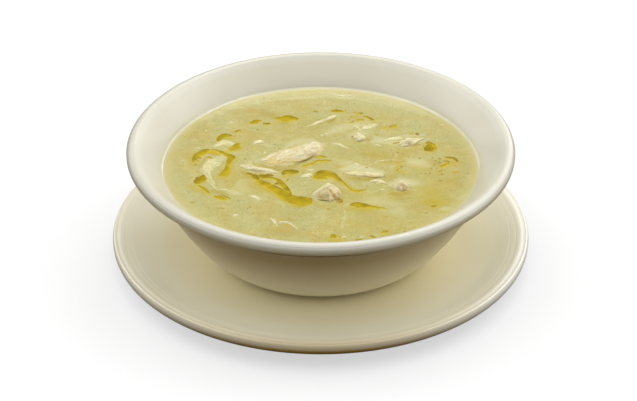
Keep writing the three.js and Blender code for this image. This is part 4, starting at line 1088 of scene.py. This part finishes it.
# Middle, half sizes and tone of each round eye
OIL_EYES = [
    (-38.6, 25.4, 0.4, 0.8, 0.3), (-28.6, 31.2, 0.8, 0.8, 0.3), (-55.1, -31.3, 0.9, 0.8, 0.3),
    (-30.3, -35.1, 0.7, 0.8, 0.3), (-57.2, -22.4, 0.4, 0.7, 0.1), (-14.4, -12.6, 0.8, 1.2, 0.2),
    (-6.7, -4.2, 0.9, 0.8, 0.5), (-7.8, -6.2, 0.6, 0.6, 0.5), (-2.2, -8.1, 0.7, 0.7, 0.8),
    (3.4, -36.6, 1.1, 1.0, 0.1), (8.4, -59, 1.1, 1.0, 0.3), (-2.3, 47.7, 1.2, 1.2, 0.3),
    (11.9, 46.4, 0.5, 0.5, 0.3), (14.8, 46.1, 0.7, 0.6, 0.3), (16.7, 43.5, 0.7, 0.8, 0.3),
    (25.6, 26.5, 1.2, 1.0, 0.2), (43.4, 27.4, 1.1, 1.6, 0.15), (46.1, 16.8, 0.8, 1.2, 0.6),
    (30, 30.5, 0.6, 0.6, 0.7), (52.2, -13.2, 1.1, 0.8, 0.1), (53.1, -7.5, 0.6, 0.6, 0.1),
    (54.3, -4.3, 0.6, 0.6, 0.2), (35.6, -1.5, 0.8, 1.2, 0.3), (34, -4.2, 1.1, 1.5, 0.35),
    (36.9, -5.9, 1.1, 0.8, 0.9), (43.8, 6, 0.7, 0.7, 0.2), (38.9, 7.1, 0.4, 0.5, 0.2),
    (41, 7.1, 0.4, 0.5, 0.2), (49.3, 5.7, 0.4, 0.6, 0.1), (52.5, 5.7, 0.8, 0.8, 0),
    (20.1, -1.9, 0.6, 0.6, 0.3), (43.8, -7, 0.5, 0.5, 0.1), (45.8, -7.1, 0.8, 0.6, 0.1),
    (42.4, -39.5, 1.0, 0.7, 0.3), (45, -39.5, 1.0, 0.7, 0.3), (38.1, -47.7, 0.8, 0.6, 0.4),
    (33.9, -50.3, 0.8, 0.6, 0.5), (39.8, -50.5, 0.7, 0.5, 0.5), (35.4, -54.7, 0.8, 0.6, 0.4),
    (64.4, -7, 0.6, 0.5, 0.2), (-33.4, 5, 0.9, 0.8, 0.4), (-29.6, 2.7, 0.5, 0.5, 0.5),
    (-32.2, 3.5, 0.4, 0.4, 0.5), (-55.2, 0.6, 0.8, 0.6, 0.5), (-53.5, -0.4, 0.5, 0.5, 0.6),
    (-56.2, -10.1, 0.6, 0.7, 0.5), (-54.8, -5.2, 0.9, 0.8, 0.7), (5.9, -54.1, 0.6, 0.6, 0.6),
    (-4.2, -54.7, 1.1, 0.8, 0.8), (-5.2, -56, 0.4, 0.5, 0.7), (1.1, -55, 0.8, 0.8, 0.8),
    (42, -24.8, 0.9, 0.8, 0.8), (-19.7, -12, 0.5, 0.6, 0.6), (-21.2, -15.6, 0.4, 0.6, 0.5),
    (-18.8, -16.5, 0.4, 0.6, 0.5), (14.2, 24.7, 0.7, 0.7, 0.3), (-7.1, 27.4, 0.4, 0.5, 0.4),
    (-12.5, 29, 0.7, 0.6, 0.8), (-26.7, 12.7, 0.6, 0.6, 0.8), (-29.2, 15.2, 0.7, 0.7, 0.8),
    (25, -22.5, 0.4, 0.4, 0.6), (56, -21, 0.5, 0.5, 0.4), (63.1, 1.8, 0.4, 0.4, 0.5),
    (58.4, -16, 0.4, 0.4, 0.5), (38.9, -29.9, 0.4, 0.5, 0.7), (29, -43, 0.7, 0.6, 0.9),
    (-51, 19.6, 0.4, 0.5, 0.6), (-46.7, 1.5, 0.4, 0.5, 0.5), (-53.4, 6.3, 0.9, 0.7, 0.1),
    (12.8, 40.8, 0.5, 0.55, 0.1), (14, 43.1, 0.6, 0.66, 0.4), (15.6, 46.7, 0.7, 0.77, 0.1),
    (16.7, 43.1, 0.5, 0.55, 0.4), (18.4, 45.8, 0.6, 0.66, 0.1), (19.9, 43.5, 0.7, 0.77, 0.1),
    (14.6, 38.9, 0.5, 0.55, 0.1), (16.9, 39.9, 0.4, 0.44, 0.1), (11.5, 48.6, 0.5, 0.55, 0.1),
    (49.4, 6.1, 0.6, 0.66, 0.4), (50.8, 4, 0.5, 0.55, 0.1), (52.3, 2.2, 0.6, 0.66, 0.1),
    (50, 0.5, 0.5, 0.55, 0.1), (48.6, -2.5, 0.6, 0.66, 0.1), (51, -2.9, 0.5, 0.55, 0.1),
    (54.8, 4, 0.5, 0.55, 0.1), (47.8, -6.7, 0.5, 0.55, 0.1), (32.4, 8.7, 0.5, 0.55, 0.1),
    (34.2, 10.9, 0.5, 0.55, 0.1), (36.2, 10, 0.4, 0.44, 0.4), (30.8, 4.4, 0.5, 0.55, 0.4),
    (33.1, 2.7, 0.4, 0.44, 0.4), (-55.8, 6.6, 0.5, 0.55, 0.1), (-54.1, 4, 0.5, 0.55, 0.4),
    (-53, 7.4, 0.5, 0.55, 0.4), (-54.9, 0.5, 0.5, 0.55, 0.1), (-51.3, 5.3, 0.4, 0.44, 0.4),
    (-28.5, -9.3, 0.5, 0.55, 0.4), (-25.6, -12.2, 0.5, 0.55, 0.1), (-15.7, -5.9, 0.5, 0.55, 0.4),
    (-34.3, 2.7, 0.4, 0.44, 0.4), (-32, -1.2, 0.5, 0.55, 0.1), (-7.9, 7.4, 0.4, 0.44, 0.4),
    (-5.2, 10.5, 0.5, 0.55, 0.4), (-2.1, 7, 0.4, 0.44, 0.1), (4.4, -15.1, 0.4, 0.44, 0.1),
    (-54.9, 4.7, 0.8, 0.6, 0.1), (-54.6, 8.4, 0.7, 0.6, 0.1),
]


def golden_oil():
    """Rendered chicken fat in a thin film, clear and wet: olive to yellow by its tone, which also
    carries painted light, yellow towards the front of each pool, and amber where meat juices
    stained it."""
    material, tree = new_material("golden_oil")
    place = add(tree, "ShaderNodeTexCoord").outputs["Object"]
    cloud = add(tree, "ShaderNodeTexNoise", {"Scale": 260.0, "Detail": 2.0}, {"Vector": place})
    shift = add(tree, "ShaderNodeMath", {"operation": "MULTIPLY_ADD", 1: 1.7, 2: -0.75},
                {0: cloud.outputs["Fac"]})
    mixed = add(tree, "ShaderNodeMath", {"operation": "ADD", "use_clamp": True},
                {0: attribute(tree, "tone"), 1: shift.outputs[0]})
    colour = between(tree, "#7a6819", "#a6921f", mixed.outputs[0])
    colour = tinted(tree, colour, "#7c5d18", attribute(tree, "amber"))
    surface = add(tree, "ShaderNodeBsdfPrincipled", {"Roughness": 0.09, "IOR": 1.47},
                  {"Base Color": colour})
    add(tree, "ShaderNodeOutputMaterial", links={"Surface": surface.outputs[0]})
    return material


def nearness(points, around, along):
    """For each point of a loaf, 0 at the edge of its ring that is furthest back and 1 at the front."""
    depth = points[1:-1, 1].reshape(along - 1, around)
    back, front = depth.max(1, keepdims=True), depth.min(1, keepdims=True)
    share = (back - depth) / np.maximum(back - front, 0.01)
    return np.concatenate([[0.5], share.ravel(), [0.5]])


def round_drops(spots, height, sides=DROP_SIDES):
    """Low round drops (x, y, half width, half depth, ...): a middle point, a ring at 0.7 of the way
    out and 0.7 of the height, and an outer ring just under the surface."""
    spots = np.asarray(spots)[:, :4]
    turn = np.arange(sides) * 2 * np.pi / sides
    wobble = 1 + 0.12 * np.sin(2 * turn + spots[:, :1] * 7) + 0.08 * np.sin(3 * turn + spots[:, 1:2] * 5)
    rows = []
    for out, up in ((0, 1), (0.7, 0.7), (1, -0.4)):
        x = spots[:, 0:1] + out * wobble * spots[:, 2:3] * np.cos(turn)
        y = spots[:, 1:2] + out * wobble * spots[:, 3:4] * np.sin(turn)
        rows.append(np.stack([x, y, broth_height(x, y) + up * height + 0 * x], -1))
    points = np.concatenate([rows[0][:, :1], rows[1], rows[2]], 1)
    here, beside = np.arange(sides), np.roll(np.arange(sides), -1)
    faces = np.concatenate([fan(0, 1 + here, 1 + beside),
                            np.stack([1 + here, 1 + sides + here, 1 + sides + beside, 1 + beside], -1)])
    count = 1 + 2 * sides
    faces = np.where(faces < 0, -1, faces + count * np.arange(len(spots))[:, None, None])
    return points.reshape(-1, 3), faces.reshape(-1, 4)


pools = [floating(path, radii, OIL_HEIGHT, number, POOL_AROUND, POOL_ALONG, bluntness=4, waver=-0.11)
         for number, (path, radii, _) in enumerate(OIL_POOLS)]
toned = [(points, tone) for (points, _), (*_, tone) in zip(pools, OIL_POOLS)]
fat = golden_oil()
oil = make_piece("oil_pools", *joined(pools), fat)
# Tone: each pool's own tone, plus painted light that turns it yellow towards its front.
set_attribute(oil, "tone", np.concatenate([
    0.55 * nearness(points, POOL_AROUND, POOL_ALONG) + max(tone, 0) - 0.2 for points, tone in toned]))
set_attribute(oil, "amber", np.concatenate([
    np.full(len(points), -min(tone, 0) * 1.6) for points, tone in toned]))
# Painted light: the yellow that comes through each pool, laid on the broth just in front of it.
glow = [([(x, y - GLOW_SHIFT) for x, y in path], [GLOW_SHARE * r for r in radii],
         GLOW_SOFTNESS, GLOW_STRENGTH) for path, radii, _ in OIL_POOLS]
set_attribute(broth, "painted_oil_caustic", shading(spot_x, spot_y, glow))
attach(oil, "root")

eyes = make_piece("oil_eyes", *round_drops(OIL_EYES, EYE_HEIGHT), fat)
set_attribute(eyes, "tone", np.repeat([tone for *_, tone in OIL_EYES], 1 + 2 * DROP_SIDES))
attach(eyes, "root")


# Seasoning
# Specks of ground pepper and herb, a few tenths of a millimetre across, thinly scattered over the
# whole surface, and one bubble of air at the right.

SCATTERED_SPECKS = 260
SPECK_HEIGHT, SPECK_SIDES = 0.1, 6
BUBBLE, BUBBLE_HEIGHT, BUBBLE_SIDES = (60.9, -13.6, 0.7, 0.7), 0.5, 24

# Place and size of the specks that stand out
SPECKS = [
    (-48.2, 39.5, 1), (-44.8, 32.7, 1), (-45.6, 31.7, 0.8), (-49.7, 36.2, 0.8), (-55.6, 23.1, 0.8),
    (-53.8, 12.7, 0.8), (-56, 11.5, 1), (-38.7, 46.4, 1), (-23.8, 13.7, 0.9), (-20.7, 18.1, 1),
    (-32.3, 12.5, 1), (-26.1, 60, 1.7), (-20.4, 17.9, 1.1), (-19.8, 16.9, 1), (-18.7, 14.7, 1),
    (-13.4, 15.7, 1.6), (12.1, 56, 1.6), (15.4, 55, 1.4), (31.4, 13.3, 1.7), (27.8, 10.6, 1.6),
    (44, 18.2, 1.3), (37.3, 0.3, 1.2), (51.8, 33.1, 1), (57.7, 29.3, 1.5), (40.9, 38, 1),
    (52.6, 22.8, 0.9), (-35.3, -29.4, 1.4), (-41.6, -36, 1.1), (-31.3, -36, 1.5),
    (-57.3, -22.2, 1.5), (-2.1, -58.2, 1.8), (-0.6, -59.4, 1.5), (2.4, -46.6, 1.3),
    (-9.7, -35.7, 1.4), (-7.2, -52.5, 1.6), (-5.2, -48.1, 1), (18.6, -33.8, 1.4), (20, -16.8, 1.5),
    (16.9, -11.3, 1.5), (17.6, -26.9, 1.2), (62.5, -20.6, 1.3), (63.3, -11.3, 1),
    (60.3, -19.3, 0.9), (23.9, -52, 1.5), (26.4, -53.6, 1.6), (1.2, -27.6, 1.7), (-2.2, -54.4, 1.2),
    (-49.6, -29.4, 1), (-41.2, -9.8, 0.8), (-29.4, -22.3, 1.2), (-22.1, -27.7, 1.3),
    (-20.4, -28.7, 1.1), (-28.3, -19.1, 1.1), (-10.1, -20.6, 1), (-37.6, 20.1, 1), (-38.8, 6.8, 1),
    (-51.4, 25.1, 1), (-36, 29, 1.2), (-31.6, 19.2, 1), (-34, -9.3, 1), (-53.9, -5.9, 1.1),
    (-47.2, 35, 1), (-39.3, -41.7, 1), (-31.9, -39, 1.2), (-24.7, -48.9, 1), (-14.7, -34.6, 1),
    (4.1, -43.5, 1), (13.4, -50.6, 1), (31.9, -55.5, 1), (46.4, -47.3, 1), (-9.3, 52.2, 1),
    (-0.9, 54.2, 1), (23.6, 47.2, 1), (33, 53.8, 1), (37.3, 45.9, 1), (-16.5, 53.3, 1),
    (-13.8, 32.1, 1), (-4.1, 20.5, 1), (37.2, 16.1, 1.3), (47.9, 26.7, 1), (66.2, 5.8, 1),
    (33.4, -33.6, 1), (54.3, -41.5, 1), (9.8, -21.8, 1),
]


def ground_pepper():
    """Ground black pepper and dried herb, wet: dull olive brown to nearly black."""
    material, tree = new_material("ground_pepper")
    place = add(tree, "ShaderNodeTexCoord").outputs["Object"]
    kind = add(tree, "ShaderNodeTexNoise", {"Scale": 260.0}, {"Vector": place})
    colour = between(tree, "#4a4020", "#6e6436", kind.outputs["Fac"])
    surface = add(tree, "ShaderNodeBsdfPrincipled", {"Roughness": 0.5}, {"Base Color": colour})
    add(tree, "ShaderNodeOutputMaterial", links={"Surface": surface.outputs[0]})
    return material


draw = np.random.default_rng(20)
far_out = (BROTH_RADIUS - 2) * np.sqrt(draw.uniform(0, 1, SCATTERED_SPECKS))
bearing = draw.uniform(0, 2 * np.pi, SCATTERED_SPECKS)
half_width = np.exp(draw.normal(-1.9, 0.28, SCATTERED_SPECKS))
half_depth = half_width * draw.uniform(0.6, 1.4, SCATTERED_SPECKS)
scattered = np.stack([far_out * np.cos(bearing), far_out * np.sin(bearing), half_width, half_depth], -1)
seen = np.array([(x, y, 0.22 * size, 0.26 * size) for x, y, size in SPECKS])
pepper = make_piece("pepper_specks", *round_drops(np.concatenate([seen, scattered]), SPECK_HEIGHT,
                                                  sides=SPECK_SIDES), ground_pepper())
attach(pepper, "root")


def air_film():
    """The film of broth over a bubble: clear, very thin and glossy."""
    material, tree = new_material("broth_bubble_film")
    surface = add(tree, "ShaderNodeBsdfPrincipled", {
        "Base Color": linear("#e8e4c8"), "Roughness": 0.04, "IOR": 1.33, "Transmission Weight": 0.85})
    add(tree, "ShaderNodeOutputMaterial", links={"Surface": surface.outputs[0]})
    return material


bubble = make_piece("bubble", *round_drops([BUBBLE], BUBBLE_HEIGHT, sides=BUBBLE_SIDES), air_film())
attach(bubble, "root")
